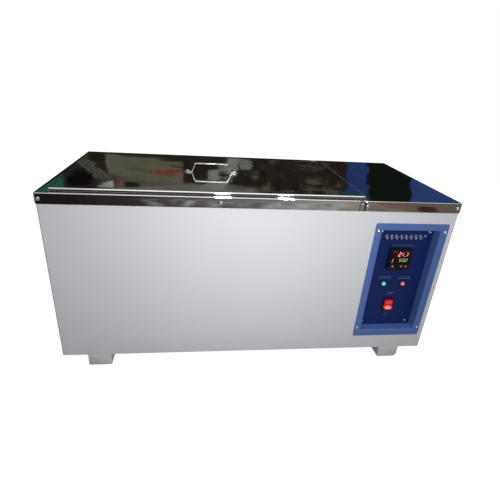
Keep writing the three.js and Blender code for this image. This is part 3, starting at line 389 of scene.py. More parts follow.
def printing(name, dark, light):
    """Screen-printed ink: slightly broken up and just proud of the paint."""
    f = Finish(name)
    worn = f.cloud(f.place, 800.0, detail=2.0)
    f.feed("Base Color", f.mix(worn, dark, light))
    f.feed("Roughness", worn * 0.2 + 0.35)
    f.bump(worn, 0.00001)
    return f.material


LAMP = {side: middle(f"{side}_lamp_lens") for side in ("green", "red")}
LOOKS = {
    "mirror_steel": polished_steel(),
    "satin_steel": satin_steel(),
    "chrome_trim": chrome(),
    "grey_paint": powder_coat("grey_paint", (0.62, 0.63, 0.655), (0.66, 0.67, 0.695), low_darkening=0.3),
    "foot_paint": powder_coat("foot_paint", (0.52, 0.52, 0.52), (0.60, 0.60, 0.60), rough=0.45),
    "blue_paint": powder_coat("blue_paint", (0.068, 0.137, 0.385), (0.084, 0.163, 0.44), 0.00005, 0.30,
                              gloss=1.0),
    "navy_paint": powder_coat("navy_paint", (0.0015, 0.012, 0.092), (0.003, 0.017, 0.110), 0.00002,
                              0.3),
    "galvanised": galvanised(),
    "mineral_wool": mineral_wool(),
    "brass": brass(),
    "black_plastic": moulded("black_plastic", (0.004, 0.004, 0.004), (0.010, 0.010, 0.011)),
    "key_plastic": moulded("key_plastic", (0.050, 0.024, 0.018), (0.085, 0.045, 0.034)),
    "white_plastic": moulded("white_plastic", (0.58, 0.56, 0.49), (0.74, 0.72, 0.64)),
    "display_window": tinted_window(),
    "green_lens": lit_lens("green_lens", (0.01, 0.30, 0.20), (0.08, 0.66, 0.50),
                           (LAMP["green"][0], LAMP["green"][2]), 4.6 * MM, 0.55),
    "red_lens": lit_lens("red_lens", (0.36, 0.008, 0.03), (0.80, 0.20, 0.28),
                         (LAMP["red"][0], LAMP["red"][2]), 4.2 * MM, 0.55),
    "rocker_red": lit_rocker(),
    "lever_sleeve": moulded("lever_sleeve", (0.012, 0.06, 0.34), (0.025, 0.10, 0.50), 0.3),
}
SCREW_ZINC = zinc_plate()
SILVER_INK = printing("silver_ink", (0.30, 0.34, 0.42), (0.52, 0.56, 0.62))
FAINT_INK = printing("faint_ink", (0.07, 0.10, 0.22), (0.14, 0.18, 0.32))
# the key symbols' ink is given a painted glow: emission, though the symbols are no lamp
GLOWING_SYMBOL_INK = glowing("symbol_ink_painted_glow", (0.55, 0.24, 0.17), (0.72, 0.40, 0.30), 0.35)
LIT_RED = glowing("lit_red", (1.0, 0.10, 0.16), (1.0, 0.40, 0.46), 1.25)
LIT_GREEN = glowing("lit_green", (0.22, 0.50, 0.07), (0.42, 0.68, 0.18), 0.5)
LIT_FAINT = glowing("lit_faint", (0.34, 0.05, 0.04), (0.46, 0.10, 0.07), 0.5)

SLOT_NODES = {
    "mirror_steel": ["tank_surround", "compartment_cover", "lid"],
    "satin_steel": ["tank", "heater_element", "diffuser_tray", "tray_stand", "temperature_probe",
                    "drain_pipe", "valve_ball"],
    "chrome_trim": ["valve_body"] + [n for n in NODES if "screw" in n or n == "lid_handle"],
    "grey_paint": ["casing_wrap", "rear_cover"],
    "foot_paint": [n for n in NODES if n.startswith("foot_")],
    "blue_paint": ["control_frame"],
    "navy_paint": ["control_plate"],
    "galvanised": ["floor_pan", "tank_bearer_left", "tank_bearer_right", "bulkhead",
                   "controller_bracket", "heat_sink", "lever_nut"],
    "mineral_wool": ["insulation_jacket"],
    "brass": ["heater_flange"],
    "black_plastic": ["controller_front", "controller_case", "green_lamp_body", "red_lamp_body",
                      "rocker_frame", "cable_gland"],
    "key_plastic": ["key_set", "key_down", "key_up"],
    "white_plastic": ["controller_board", "solid_state_relay", "terminal_block"],
    "display_window": ["controller_window"],
    "green_lens": ["green_lamp_lens"],
    "red_lens": ["red_lamp_lens"],
    "rocker_red": ["power_rocker"],
    "lever_sleeve": ["valve_lever"],
}
for slot, names in SLOT_NODES.items():
    for name in names:
        for seat in NODES[name].material_slots:
            seat.material = LOOKS[slot]


# ------------------------------------------------------------------ surfaces

def skin(points, wrap_rows=False, wrap_columns=False):
    """Quads between the neighbouring points of a grid, (rows, columns, 3)."""
    rows, columns = points.shape[:2]
    index = np.arange(rows * columns).reshape(rows, columns)
    if wrap_rows:
        index = np.vstack([index, index[:1]])
    if wrap_columns:
        index = np.hstack([index, index[:, :1]])
    faces = np.stack([index[:-1, :-1], index[1:, :-1], index[1:, 1:], index[:-1, 1:]], -1)
    return points.reshape(-1, 3), faces.reshape(-1, 4).tolist()


def lidded(points):
    """Rings of points, (rings, points, 3), skinned into a closed shell with a flat face at each end."""
    verts, faces = skin(points, wrap_columns=True)
    rings, count = points.shape[:2]
    faces.append(list(range(count)))
    faces.append(list(range((rings - 1) * count, rings * count))[::-1])
    return verts, faces


def piece(name, parts, finish, body="root", stands_for=(), wall=0.0, inside=None, sharp=32.0):
    """Joins (verts, faces) parts into one object. A closed shell's faces are turned outwards; an open
    sheet's are turned away from the point inside, and a wall then grows on that side."""
    verts, faces, count = [], [], 0
    for part_verts, part_faces in parts:
        verts.append(np.asarray(part_verts, float))
        faces.extend([[i + count for i in face] for face in part_faces])
        count += len(part_verts)
    mesh = bpy.data.meshes.new(name)
    mesh.from_pydata(np.vstack(verts).tolist(), [], faces)
    shape = bmesh.new()
    shape.from_mesh(mesh)
    bmesh.ops.remove_doubles(shape, verts=shape.verts, dist=2e-6)
    bmesh.ops.dissolve_degenerate(shape, edges=shape.edges, dist=1e-7)
    bmesh.ops.recalc_face_normals(shape, faces=shape.faces)
    if inside is not None:
        shape.normal_update()
        centres = np.array([f.calc_center_median() for f in shape.faces]) - np.array(inside)
        normals = np.array([f.normal for f in shape.faces])
        areas = np.array([f.calc_area() for f in shape.faces])
        if (centres * normals).sum(1) @ areas < 0:
            bmesh.ops.reverse_faces(shape, faces=shape.faces)
    shape.to_mesh(mesh)
    shape.free()
    mesh.polygons.foreach_set("use_smooth", np.ones(len(mesh.polygons), bool))
    mesh.set_sharp_from_angle(angle=math.radians(sharp))
    mesh.materials.append(finish)
    made = bpy.data.objects.new(name, mesh)
    bpy.context.collection.objects.link(made)
    if wall:
        grow = made.modifiers.new("wall", "SOLIDIFY")
        grow.thickness = wall
        grow.offset = -1.0
    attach(made, body)
    if stands_for:
        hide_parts(*stands_for)
    return made


def outline(u0, u1, v0, v1, radii, along=(24, 12), turn=7):
    """A rectangle with round corners as points and outward normals. It starts on the v1 side at u1 and
    runs by u0 and v0. radii are those of the corners (u0, v1), (u0, v0), (u1, v0) and (u1, v1)."""
    ra, rb, rc, rd = radii
    places, normals = [], []

    def side(start, end, count, normal):
        share = np.linspace(0, 1, count)[:, None]
        places.append(np.array(start) * (1 - share) + np.array(end) * share)
        normals.append(np.tile(normal, (count, 1)))

    def corner(u, v, r, first):
        angle = np.radians(np.linspace(first, first + 90, turn + 2)[1:-1])
        spin = np.stack([np.cos(angle), np.sin(angle)], 1)
        places.append(np.array((u, v)) + r * spin)
        normals.append(spin)

    side((u1 - rd, v1), (u0 + ra, v1), along[0], (0, 1))
    corner(u0 + ra, v1 - ra, ra, 90)
    side((u0, v1 - ra), (u0, v0 + rb), along[1], (-1, 0))
    corner(u0 + rb, v0 + rb, rb, 180)
    side((u0 + rb, v0), (u1 - rc, v0), along[0], (0, -1))
    corner(u1 - rc, v0 + rc, rc, 270)
    side((u1, v0 + rc), (u1, v1 - rd), along[1], (1, 0))
    corner(u1 - rd, v1 - rd, rd, 0)
    return np.vstack(places), np.vstack(normals)


def ringed(box_uv, radius, steps, along=(2, 2), turn=7, swell=1.0):
    """Rings round a rectangle in the XZ plane. Each step is (distance outside the rectangle, y)."""
    rings = []
    for out, y in steps:
        r = max(radius + out * swell, 0.0002)
        u0, u1, v0, v1 = box_uv
        flat, _ = outline(u0 - out, u1 + out, v0 - out, v1 + out, (r,) * 4, along, turn)
        rings.append(np.stack([flat[:, 0], np.full(len(flat), y), flat[:, 1]], 1))
    return np.array(rings)


def quarter(centre_out, centre_y, radius, first, last, count=5):
    """Steps round part of a circle, for ringed: (out, y) at angles from first to last, in degrees."""
    angle = np.radians(np.linspace(first, last, count))
    return [(centre_out + radius * math.cos(a), centre_y + radius * math.sin(a)) for a in angle]


def spun(profile, axis, centre, sides=32, phase=0.0):
    """A solid of revolution: [radius, distance along the axis] points turned round X, Y or Z."""
    profile = np.asarray(profile, float)
    angle = np.linspace(0, 2 * math.pi, sides, endpoint=False) + phase
    a = profile[:, :1] * np.cos(angle)
    b = profile[:, :1] * np.sin(angle)
    along = np.repeat(profile[:, 1:], sides, 1)
    order = {"x": (along, a, b), "y": (a, along, b), "z": (a, b, along)}[axis]
    return lidded(np.stack(order, -1) + np.array(centre))


def rounded_path(corners, radii, steps=8):
    """A bent line: each inner corner is replaced by an arc of its radius, tangent to both legs."""
    corners = np.asarray(corners, float)
    path = [corners[:1]]
    for before, here, after, r in zip(corners, corners[1:], corners[2:], radii):
        a = (before - here) / np.linalg.norm(before - here)
        b = (after - here) / np.linalg.norm(after - here)
        half = math.acos(float(np.clip(a @ b, -1, 1))) / 2
        middle_way = (a + b) / np.linalg.norm(a + b)
        centre = here + middle_way * (r / math.sin(half))
        start, end = here + a * (r / math.tan(half)), here + b * (r / math.tan(half))
        share = np.linspace(0, 1, steps)[:, None]
        chord = start * (1 - share) + end * share - centre
        path.append(centre + chord / np.linalg.norm(chord, axis=1)[:, None] * r)
    path.append(corners[-1:])
    return np.vstack(path)


def spread(path, step):
    """The same line with points no further apart than step."""
    gaps = np.linalg.norm(np.diff(path, axis=0), axis=1)
    parts = [np.linspace(0, 1, max(2, int(math.ceil(g / step)) + 1))[:-1] for g in gaps]
    rows = [p + (q - p) * s[:, None] for p, q, s in zip(path, path[1:], parts)]
    return np.vstack(rows + [path[-1:]])


def carried(profile, path, side, scales=None):
    """A closed profile of (along side, across) points carried along a path. Across is the path's own
    normal, side x tangent. scales shrinks the profile's first coordinate at each point of the path."""
    tangent = np.gradient(path, axis=0)
    tangent /= np.linalg.norm(tangent, axis=1)[:, None]
    side = np.array(side, float)
    across = np.cross(tangent, side)
    across /= np.linalg.norm(across, axis=1)[:, None]
    size = np.ones(len(path)) if scales is None else scales
    grid = (path[:, None, :] + profile[None, :, :1] * size[:, None, None] * side
            + profile[None, :, 1:] * across[:, None, :])
    return lidded(grid)


def round_section(width, height, r, count=3):
    """A rectangle with round corners, as the closed profile of a strip."""
    flat, _ = outline(-width / 2, width / 2, -height / 2, height / 2, (r,) * 4, (2, 2), count)
    return flat


# ------------------------------------------------------------------ pressed steel: deck, cover and lid

def ripple(x, y, depth):
    """The slow waves left in a pressed sheet: a sum of sines of unrelated lengths, times depth."""
    waves = (np.sin(21 * x + 9 * y + 0.6) + 0.8 * np.sin(13 * x - 31 * y + 2.1)
             + 0.6 * np.sin(37 * x + 23 * y + 4.0) + 0.5 * np.sin(-52 * x + 44 * y + 1.3)
             + 0.25 * np.sin(96 * x + 61 * y) * np.sin(71 * y - 20 * x))
    return waves * depth


def pressed(x0, x1, y0, y1, top, corner, edge, drop, bent=(1, 1, 1, 1), depth=0.0, step=7 * MM):
    """A sheet pressed into a shallow tray, seen from above, as one grid.
    Beyond a core rectangle the distance m run over the sheet goes flat for corner - edge, then round a
    quarter circle of radius edge, then straight down to drop. In a corner the two distances a and b
    share the direction (a, b) / |(a, b)|, and m is the larger, so the plan turns round the corner.
    bent tells which of the sides x0, x1, y0 and y1 are turned down."""
    flat = corner - edge
    arc = edge * math.pi / 2
    run = np.concatenate([np.linspace(0, flat, 3)[1:], flat + np.linspace(0, arc, 8)[1:],
                          flat + arc + np.linspace(0, drop - edge, 4)[1:]])
    run = np.insert(run, -1, run[-1] - 0.25 * MM)

    def lines(low, high, low_bent, high_bent):
        first = low + corner * low_bent
        last = high - corner * high_bent
        core = np.linspace(first, last, max(2, int((last - first) / step)))
        base, beyond = [core], [np.zeros(len(core))]
        if low_bent:
            base.insert(0, np.full(len(run), first))
            beyond.insert(0, -run[::-1])
        if high_bent:
            base.append(np.full(len(run), last))
            beyond.append(run)
        return np.concatenate(base), np.concatenate(beyond)

    bx, ax = lines(x0, x1, bent[0], bent[1])
    by, ay = lines(y0, y1, bent[2], bent[3])
    a, b = np.meshgrid(ax, ay, indexing="ij")
    x, y = np.meshgrid(bx, by, indexing="ij")
    m = np.maximum(abs(a), abs(b))
    length = np.maximum(np.hypot(a, b), 1e-12)
    turn = np.clip((m - flat) / edge, 0, math.pi / 2)
    out = np.where(m < flat, m, flat + edge * np.sin(turn))
    fall = edge * (1 - np.cos(turn)) + np.maximum(m - flat - arc, 0)
    x, y = x + a / length * out, y + b / length * out
    rim = np.minimum(np.minimum(x - x0, x1 - x), np.minimum(y - y0, y1 - y))
    fade = np.clip(rim / 0.03, 0, 1)
    return skin(np.stack([x, y, top - fall + ripple(x, y, depth) * fade ** 2], -1))


def make_lid():
    parts = [pressed(LID_LO.x, LID_HI.x, LID_LO.y, LID_HI.y, LID_HI.z, 5 * MM, 3.2 * MM,
                     LID_HI.z - LID_LO.z, depth=0.010 * MM)]
    mid = (LID_LO + LID_HI) / 2
    piece("lid_shell", parts, LOOKS["mirror_steel"], "lid", ["lid"], SHEET,
          (mid.x, mid.y, LID_LO.z - 0.3))


def make_compartment_cover():
    parts = [pressed(COVER_LO.x, COVER_HI.x, COVER_LO.y, COVER_HI.y, DECK_Z, 4.5 * MM, 1.7 * MM,
                     DECK_Z - COVER_LO.z, (0, 1, 1, 1), 0.008 * MM)]
    mid = (COVER_LO + COVER_HI) / 2
    piece("compartment_lid", parts, LOOKS["mirror_steel"], "root",
          ["compartment_cover"], SHEET, (mid.x, mid.y, COVER_LO.z - 0.3))


def make_tank_deck():
    """The deck round the tank: a flat ring lofted between two outlines, an edge turned down on three
    sides, and a collar turned up round the opening."""
    edge, fillet = 1.7 * MM, 1.0 * MM
    along = (70, 34)
    corners = (2.8 * MM, 2.8 * MM, 1e-6, 1e-6)
    outer, normals = outline(DECK_LO.x + edge, DECK_HI.x, DECK_LO.y + edge, DECK_HI.y - edge,
                             corners, along)
    x0, x1, y0, y1 = OPENING
    inner, inward = outline(x0 - fillet, x1 + fillet, y0 - fillet, y1 + fillet,
                            (20.2 * MM,) * 4, along)
    share = np.linspace(0, 1, 5)[:, None, None]
    plan = outer * (1 - share) + inner * share
    flat = np.concatenate([plan, np.full(plan.shape[:2] + (1,), DECK_Z)], 2)
    angle = np.linspace(0, math.pi / 2, 8)
    drop = [(edge * math.sin(t), edge * (1 - math.cos(t))) for t in angle]
    height = DECK_Z - DECK_LO.z
    drop += [(edge, h) for h in (height * 0.4, height * 0.7, height - 0.25 * MM, height)]
    bent = slice(0, along[0] + 7 + along[1] + 7 + along[0])
    band = np.array([np.column_stack([outer[bent] + normals[bent] * out,
                                      np.full(len(outer[bent]), DECK_Z - h)]) for out, h in drop])
    rise = [(fillet * math.sin(t), fillet * (1 - math.cos(t))) for t in np.linspace(0, math.pi / 2, 5)]
    rise += [(fillet, COLLAR_H)]
    collar = np.array([np.column_stack([inner - inward * out, np.full(len(inner), DECK_Z + h)])
                       for out, h in rise])
    parts = [skin(flat, wrap_columns=True), skin(band), skin(collar, wrap_columns=True)]
    piece("tank_deck", parts, LOOKS["mirror_steel"], "root", ["tank_surround"], SHEET,
          ((x0 + x1) / 2, (y0 + y1) / 2, DECK_LO.z - 0.3))


# ------------------------------------------------------------------ fasteners

def pan_head(centre, axis, radius, height, shank, length, turn=0.3):
    """A pan-head screw with a cross recess. On a grid over the square -1..1 the plan is pushed out to a
    disc near the rim. The height is (1 - r^3.2)^0.5, less the recess where |u| or |v| is small."""
    line = np.array([-1, -0.93, -0.8, -0.66, -0.5, -0.32, -0.17, -0.12, 0, 0.12, 0.17, 0.32, 0.5, 0.66,
                     0.8, 0.93, 1])
    u, v = np.meshgrid(line, line, indexing="ij")
    big = np.maximum(abs(u), abs(v))
    push = np.clip((big - 0.4) / 0.6, 0, 1)
    squeeze = 1 + push * (big / np.maximum(np.hypot(u, v), 1e-9) - 1)
    u, v = u * squeeze, v * squeeze
    dome = np.sqrt(np.clip(1 - np.hypot(u, v) ** 3.2, 0, 1))
    slot = np.clip((0.155 - np.minimum(abs(u), abs(v))) / 0.05, 0, 1)
    reach = np.clip((0.58 - np.maximum(abs(u), abs(v))) / 0.14, 0, 1)
    rise = dome * height - slot * reach * height * 0.55
    c, s = math.cos(turn), math.sin(turn)
    top = np.stack([(u * c - v * s) * radius, (u * s + v * c) * radius, rise], -1)
    ring = np.concatenate([top[:, 0], top[1:, -1], top[-1, -2::-1], top[-2:0:-1, 0]])
    near = np.column_stack([ring[:, :2] * (shank / radius), np.zeros(len(ring))])
    far = near - (0, 0, length)
    parts = [skin(top), lidded(np.array([ring, near, near * (1, 1, 0) - (0, 0, 1e-5), far]))]
    parts[1] = (parts[1][0], parts[1][1][:-2] + [parts[1][1][-1]])
    basis = {"-y": ((1, 0, 0), (0, 0, 1), (0, -1, 0)), "+y": ((-1, 0, 0), (0, 0, 1), (0, 1, 0)),
             "+z": ((1, 0, 0), (0, 1, 0), (0, 0, 1)), "-x": ((0, -1, 0), (0, 0, 1), (-1, 0, 0)),
             "+x": ((0, 1, 0), (0, 0, 1), (1, 0, 0))}[axis]
    return [(verts @ np.array(basis, float) + np.array(centre), faces) for verts, faces in parts]


def make_fasteners():
    """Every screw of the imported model, and those of the side bands, rear band and rear cover."""
    for name in [n for n in NODES if "screw" in n]:
        low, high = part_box(name)
        x, y, z = middle(name)
        turn = (abs(x) * 1000 + z * 700) % 1.5
        if name.startswith("handle"):
            parts = pan_head((x, y, high.z - 1.8 * MM), "+z", 2.5 * MM, 1.3 * MM, 1.5 * MM, 8 * MM,
                             turn)
            piece(name + "_head", parts, SCREW_ZINC, "lid", [name])
        else:
            radius = (high.x - low.x) / 2
            height = {"band": 1.8, "pane": 1.7, "plat": 1.6}[name[:4]] * MM
            parts = pan_head((x, low.y + height, z), "-y", radius, height, radius * 0.48, 4 * MM, turn)
            piece(name + "_head", parts, SCREW_ZINC, "root", [name])
    band_z = middle("band_screw_left")[2]
    end_band_y = (-0.19, 0.125)
    rear_edge_x = 0.388
    extra = [((x, DECK_HI.y, band_z), "+y") for x in (-0.385, -0.08, 0.18, 0.385)]
    extra += [((DECK_LO.x, y, band_z), "-x") for y in end_band_y]
    extra += [((COVER_HI.x, y, band_z), "+x") for y in end_band_y]
    extra += [((x, BACK_Y, z), "+y") for x in (-rear_edge_x, -0.13, 0.13, rear_edge_x)
              for z in (0.042, 0.345)]
    extra += [((x, BACK_Y, 0.19), "+y") for x in (-rear_edge_x, rear_edge_x)]
    for number, (place, axis) in enumerate(extra):
        parts = pan_head(place, axis, 3.3 * MM, 1.8 * MM, 1.6 * MM, 4 * MM, number * 0.7)
        piece(f"casing_screw_{number + 1}", parts, SCREW_ZINC)


# ------------------------------------------------------------------ handle

def make_handle():
    """One strip, 13 x 2 mm, bent to foot, leg, grip, leg and foot. Its width falls as a half circle,
    sqrt(1 - t^2), over the last of each foot."""
    x, y, _ = middle("lid_handle")
    z = HANDLE_LO.z
    half = (HANDLE_HI.x - HANDLE_LO.x) / 2
    tall = (HANDLE_HI.z - HANDLE_LO.z) / MM - 1
    foot, grip = half - 15.4 * MM, half - 21.8 * MM
    corners = [(-half, 1), (-foot, 1), (-grip, tall), (grip, tall), (foot, 1), (half, 1)]
    corners = [(x + u, y, z + w * MM) for u, w in corners]
    path = spread(rounded_path(corners, [3 * MM, 3.4 * MM, 3.4 * MM, 3 * MM]), 1.2 * MM)
    run = np.concatenate([[0], np.cumsum(np.linalg.norm(np.diff(path, axis=0), axis=1))])
    near_end = np.clip(1 - np.minimum(run, run[-1] - run) / (6.5 * MM), 0, 1)
    scales = np.maximum(np.sqrt(1 - near_end ** 2), 0.08)
    strip = carried(round_section(13 * MM, 2 * MM, 0.7 * MM), path, (0, 1, 0), scales)
    piece("handle_strip", [strip], LOOKS["chrome_trim"], "lid", ["lid_handle"])


# ------------------------------------------------------------------ control frame, plate and print

def make_control_frame():
    """Rings round the recess: the flange's turned edge, its flat, a bend, the wall and the return."""
    flange = 15.4 * MM
    opening = (PANEL_LO.x + flange, PANEL_HI.x - flange, PANEL_LO.z + flange, PANEL_HI.z - flange)
    y = FRAME_Y
    steps = [(flange, y + 0.5 * MM), (15.3 * MM, y + 0.15 * MM), (14.9 * MM, y), (8 * MM, y)]
    steps += quarter(1.8 * MM, y + 1.8 * MM, 1.8 * MM, 270, 180, 7)
    back = PLATE_Y + 1.8 * MM
    steps += [(0, y + 11 * MM), (0, back - 0.8 * MM), (-0.8 * MM, back), (-17 * MM, back)]
    rings = ringed(opening, 2.2 * MM, steps, (20, 30), 6, 0.12)
    mid = (PANEL_LO + PANEL_HI) / 2
    piece("panel_pressing", [skin(rings, wrap_columns=True)], LOOKS["blue_paint"], "root",
          ["control_frame"], SHEET, (mid.x, y + 0.2, mid.z))


def flat_band(line, width, y, thick=0.06 * MM):
    """A printed stroke: a line of (x, z) points widened by width, as a thin closed strip."""
    line = np.asarray(line, float)
    tangent = np.gradient(line, axis=0)
    tangent /= np.linalg.norm(tangent, axis=1)[:, None]
    across = np.stack([-tangent[:, 1], tangent[:, 0]], 1) * np.asarray(width)[..., None] / 2
    ring = [(line + across, y), (line - across, y), (line - across, y - thick),
            (line + across, y - thick)]
    grid = np.stack([np.stack([p[:, 0], np.full(len(p), h), p[:, 1]], 1) for p, h in ring], 1)
    return lidded(grid)


def strokes(x0, x1, z, lengths, gap, width, y):
    """A row of short bars from x0 to x1, of the given relative lengths."""
    total = sum(lengths)
    free = (x1 - x0) - gap * (len(lengths) - 1)
    parts, x = [], x0
    for share in lengths:
        end = x + free * share / total
        parts.append(flat_band([(x, z), ((x + end) / 2, z), (end, z)], width, y))
        x = end + gap
    return parts


def make_print():
    """One wave drawn with a broad pen, and bars in the places of captions. The pen's line is
    297.9 + 4.6 sin(17 pi u) high, and it is widest where the line falls."""
    y = PLATE_Y
    title, captions = [], []
    u = np.linspace(0, 1, 400)
    swing = np.sin(u * math.pi * 17)
    slope = np.cos(u * math.pi * 17)
    place = np.column_stack([263.5 + 91 * u + swing * 1.6, 297.9 + 4.6 * swing])
    title.append(flat_band(place * MM, (1.25 - 0.75 * slope) * MM, y))
    captions += strokes(285 * MM, 335 * MM, 279 * MM, [5, 3, 6, 8, 4, 5], 1.2 * MM, 1.2 * MM, y)
    for x0, x1, z in ((274, 299, 203.6), (272, 300, 199.8), (320, 344, 203.2), (317, 346, 199.2)):
        captions += strokes(x0 * MM, x1 * MM, z * MM, [6, 5, 7], 1.2 * MM, 1.25 * MM, y)
    captions += strokes(299 * MM, 316 * MM, 163.6 * MM, [5, 4], 1.1 * MM, 1.1 * MM, y)
    captions += strokes(301 * MM, 312 * MM, 160.2 * MM, [5], 1.1 * MM, 1.1 * MM, y)
    angle = np.linspace(0.5, 2 * math.pi - 0.5, 24) + math.pi / 2
    arc = np.column_stack([307.2 + 2.2 * np.cos(angle), 104.5 + 2.2 * np.sin(angle)])
    captions.append(flat_band(arc * MM, 0.7 * MM, y))
    captions.append(flat_band(np.array([(307.2, 105), (307.2, 106.5), (307.2, 108)]) * MM, 0.7 * MM, y))
    piece("plate_emblem", title, SILVER_INK)
    piece("plate_captions", captions, FAINT_INK)


# ------------------------------------------------------------------ temperature controller

BARS = {
    "a": ((0, 1), (1, 1)), "b": ((1, 1), (1, 0.5)), "c": ((1, 0.5), (1, 0)), "d": ((0, 0), (1, 0)),
    "e": ((0, 0.5), (0, 0)), "f": ((0, 1), (0, 0.5)), "g": ((0, 0.5), (1, 0.5)),
}
DIGITS = {"0": "abcdef", "1": "bc", "2": "abged", "5": "afgcd"}


def digit(figure, x, z, width, height, thick, y, lean=0.12):
    """Seven-bar figure. Each bar is a stretched hexagon between two corners of the figure's frame."""
    parts = []
    for name in DIGITS[figure]:
        (u0, v0), (u1, v1) = BARS[name]
        start = np.array((x + u0 * width + v0 * height * lean, z + v0 * height))
        end = np.array((x + u1 * width + v1 * height * lean, z + v1 * height))
        way = (end - start) / np.linalg.norm(end - start)
        side = np.array((-way[1], way[0])) * thick / 2
        start, end = start + way * thick * 0.28, end - way * thick * 0.28
        flat = np.array([start, start + way * thick / 2 + side, end - way * thick / 2 + side, end,
                         end - way * thick / 2 - side, start + way * thick / 2 - side])
        rings = [np.column_stack([flat[:, 0], np.full(6, h), flat[:, 1]]) for h in (y, y - 0.1 * MM)]
        parts.append(lidded(np.array(rings)))
    return parts


def dot(x, z, r, y):
    return spun([(r, 0), (r, -0.1 * MM)], "y", (x, y, z), 12)


def make_display():
    """The lit digits and marks just behind the window's face, and the raised lip round it."""
    y = WINDOW_LO.y + 0.02 * MM
    red = []
    for figure, x in (("2", 299.4), ("1", 304.2), ("1", 314.4)):
        red += digit(figure, x * MM, 256.9 * MM, 5.2 * MM, 8.6 * MM, 1.75 * MM, y)
    red.append(dot(314.6 * MM, 256.9 * MM, 0.9 * MM, y))
    red += digit("1", 285.8 * MM, 244.4 * MM, 3.6 * MM, 6.6 * MM, 1.6 * MM, y)
    red.append(dot(289.0 * MM, 242.3 * MM, 0.8 * MM, y))
    green = []
    for figure, x in (("5", 303.6), ("0", 310.2), ("0", 317.2)):
        green += digit(figure, x * MM, 244.6 * MM, 3.9 * MM, 6.3 * MM, 1.1 * MM, y)
    green.append(dot(316.0 * MM, 244.6 * MM, 0.7 * MM, y))
    faint = strokes(287 * MM, 296 * MM, 267.0 * MM, [3, 4], 1 * MM, 0.9 * MM, y)
    faint += strokes(314 * MM, 323 * MM, 267.0 * MM, [4, 3], 1 * MM, 0.9 * MM, y)
    piece("digits_measured", red, LIT_RED)
    piece("digits_wanted", green, LIT_GREEN)
    piece("display_marks", faint, LIT_FAINT)
    frame_box = (WINDOW_LO.x + 0.2 * MM, WINDOW_HI.x - 0.2 * MM, FACE_LO.z + 2.6 * MM,
                 FACE_HI.z - 2.4 * MM)
    lip = [(0, FACE_Y + 0.4 * MM), (0, FACE_Y - 0.25 * MM), (0.2 * MM, FACE_Y - 0.4 * MM),
           (0.9 * MM, FACE_Y - 0.4 * MM), (1.3 * MM, FACE_Y - 0.1 * MM), (1.3 * MM, FACE_Y + 0.4 * MM)]
    piece("controller_lip", [skin(ringed(frame_box, 1.0 * MM, lip), True, True)],
          LOOKS["black_plastic"])


def make_keys():
    """Three caps with soft edges, each with a raised symbol: a ring and two arrow heads."""
    for name in ("key_set", "key_down", "key_up"):
        x, _, z = middle(name)
        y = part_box(name)[0].y
        r = 3.1
        cap = [(r, 4.9), (r, 0.7), (r - 0.12, 0.35), (r - 0.45, 0.1), (r - 0.9, 0), (r - 1.4, 0.06),
               (0.02, 0.14)]
        parts = [spun([(a * MM, b * MM) for a, b in cap], "y", (x, y, z), 36)]
        piece(name + "_cap", parts, LOOKS["key_plastic"], name, [name])
        if name == "key_set":
            angle = np.linspace(0, 2 * math.pi, 25)
            ring = np.column_stack([x + 1.5 * MM * np.cos(angle), z + 1.5 * MM * np.sin(angle)])
            marks = [flat_band(ring, 0.75 * MM, y + 0.1 * MM)]
        else:
            way = 1 if name == "key_up" else -1
            legs = np.array([(-1.7, -0.9), (-0.85, 0.15), (0, 1.2), (0.85, 0.15), (1.7, -0.9),
                             (0.6, -0.9), (-0.6, -0.9), (-1.7, -0.9)]) * (1, way)
            marks = [flat_band(legs * MM + (x, z), 0.7 * MM, y + 0.1 * MM)]
        # the symbols carry a painted glow
        piece(name + "_symbol", marks, GLOWING_SYMBOL_INK, name)


# ------------------------------------------------------------------ lamps and rocker

def make_lamps():
    """A bezel and a domed lens each, turned from [radius, distance behind the plate] in millimetres."""
    for side in ("green", "red"):
        x, _, z = middle(f"{side}_lamp_body")
        ring = [(5.0, 0.3), (5.0, -1.7), (5.25, -2.2), (5.7, -2.4), (6.3, -2.35), (6.9, -1.95),
                (7.15, -1.4), (7.2, -0.8), (7.2, -0.3), (6.0, -0.3), (6.0, 21.6), (5.0, 22)]
        parts = [skin(spun_grid(ring, (x, PLATE_Y, z), 40), True, True)]
        piece(f"{side}_lamp_bezel", parts, LOOKS["black_plastic"], "root",
              [f"{side}_lamp_body"])
        dome = [(4.7, 12), (4.7, -2.4), (4.45, -3.3), (3.9, -4.1), (3.1, -4.7), (2.1, -5.05),
                (1.0, -5.2), (0.02, -5.22)]
        dome = [(a * MM, b * MM) for a, b in dome]
        parts = [spun(dome, "y", (x, PLATE_Y, z), 36)]
        piece(f"{side}_lamp_dome", parts, LOOKS[f"{side}_lens"], "root",
              [f"{side}_lamp_lens"])


def spun_grid(profile, centre, sides):
    """Points of a ring turned round Y, in millimetres, for a shell that closes on itself."""
    profile = np.asarray(profile, float) * MM
    angle = np.linspace(0, 2 * math.pi, sides, endpoint=False)
    a, b = profile[:, :1] * np.cos(angle), profile[:, :1] * np.sin(angle)
    return np.stack([a, np.repeat(profile[:, 1:], sides, 1), b], -1) + np.array(centre)


